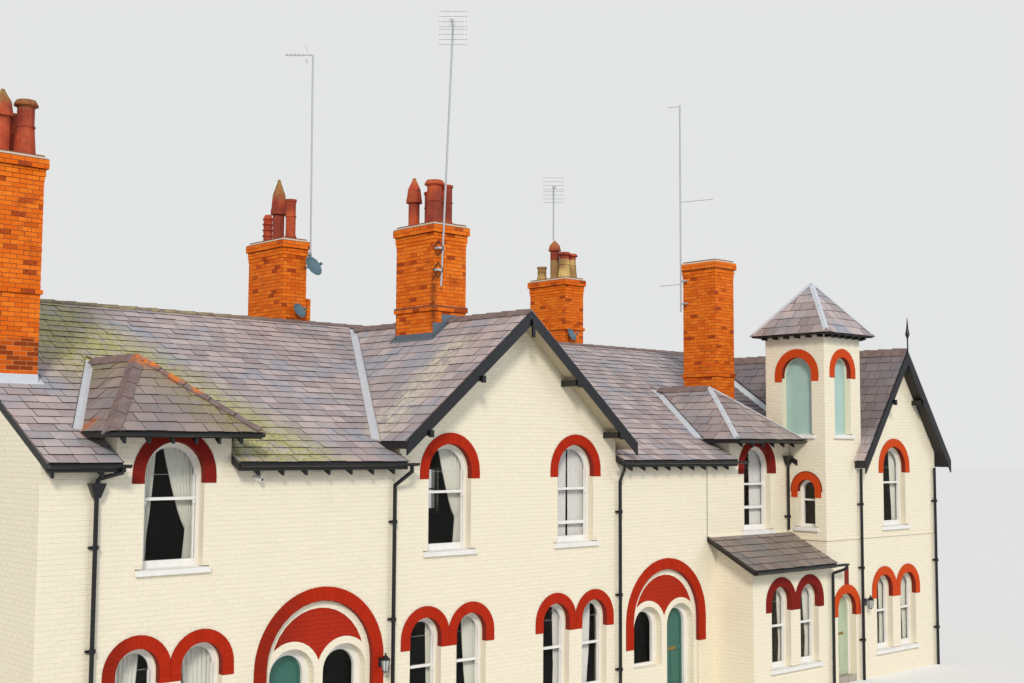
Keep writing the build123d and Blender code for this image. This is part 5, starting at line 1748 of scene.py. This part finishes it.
FINISHES = {
    "cream": ("entrance_heads", "entrance_piers", "string_course"),
    "cream_joint": ("front_wall_left", "front_wall_gable", "front_wall_right", "front_walls_over_entrances",
                    "lean_to_wall", "wing_wall", "turret_walls", "turret_wall_over_door", "rear_wall",
                    "end_wall_right", "party_wall_left"),
    "red": ("tympana",),
    "red_joint": ("upper_window_rings", "lower_window_rings", "turret_rings", "entrance_rings"),
    "mortar": ("chimneys",),
    "slate_body": ("gable_roof",),
    "dark_body": (
        "main_roof_front", "main_roof_rear", "half_dormer_roofs", "wing_roof", "lean_to_roof", "turret_roof"),
    "ridge": ("ridge_tiles",),
    "lead": ("roof_leads",),
    "black": ("bargeboards",),
    "iron": ("gutters", "downpipes"),
    "white": ("front_window_frames", "rear_window_frames", "door_frames"),
    "sill": ("window_sills",),
    "teal": ("door_left", "door_right"),
    "sage": ("door_turret",),
    "blind": ("turret_blind_panels",),
    "glass": ("front_glass", "rear_glass"),
    "boards": ("first_floor",),
    "flags": ("ground_floor",),
    "pots": ("chimney_pots",),
    "steel": ("aerials_and_dishes",),
}


class ROW_OT_finishes(bpy.types.Operator):
    """Give every part of the frame its finish"""
    bl_idname = "row.finishes"
    bl_label = "Finishes"

    def execute(self, context):
        make_materials()
        for material, names in FINISHES.items():
            for name in names:
                node = NODES[name]
                node.data.materials.clear()
                node.data.materials.append(MATERIALS[material])
        missing = set(NODES) - {n for names in FINISHES.values() for n in names}
        if missing:
            raise RuntimeError(f"no finish for {sorted(missing)}")
        return {"FINISHED"}


class ROW_PT_panel(bpy.types.Panel):
    """Sizes, colours and steps of the houses"""
    bl_idname = "ROW_PT_panel"
    bl_label = "Arched Brick Houses"
    bl_space_type = "VIEW_3D"
    bl_region_type = "UI"
    bl_category = "Houses"

    def draw(self, context):
        layout = self.layout
        for group in (context.scene.row_sizes, context.scene.row_colours):
            box = layout.box()
            for name in group.__annotations__:
                box.prop(group, name)
        for step in STEPS:
            layout.operator(step.bl_idname)


STEPS = (
    ROW_OT_finishes, ROW_OT_slates, ROW_OT_ridge_tiles, ROW_OT_arches, ROW_OT_wall_bricks, ROW_OT_stacks,
    ROW_OT_joinery, ROW_OT_curtains, ROW_OT_eaves, ROW_OT_leads, ROW_OT_fittings, ROW_OT_stage)
CLASSES = (RowSizes, RowColours) + STEPS + (ROW_PT_panel,)


def register():
    for item in CLASSES:
        bpy.utils.register_class(item)
    bpy.types.Scene.row_sizes = PointerProperty(type=RowSizes)
    bpy.types.Scene.row_colours = PointerProperty(type=RowColours)


def unregister():
    del bpy.types.Scene.row_colours
    del bpy.types.Scene.row_sizes
    for item in reversed(CLASSES):
        bpy.utils.unregister_class(item)


def main():
    register()
    for step in STEPS:
        group, name = step.bl_idname.split(".")
        getattr(getattr(bpy.ops, group), name)()


if __name__ == "__main__":
    main()
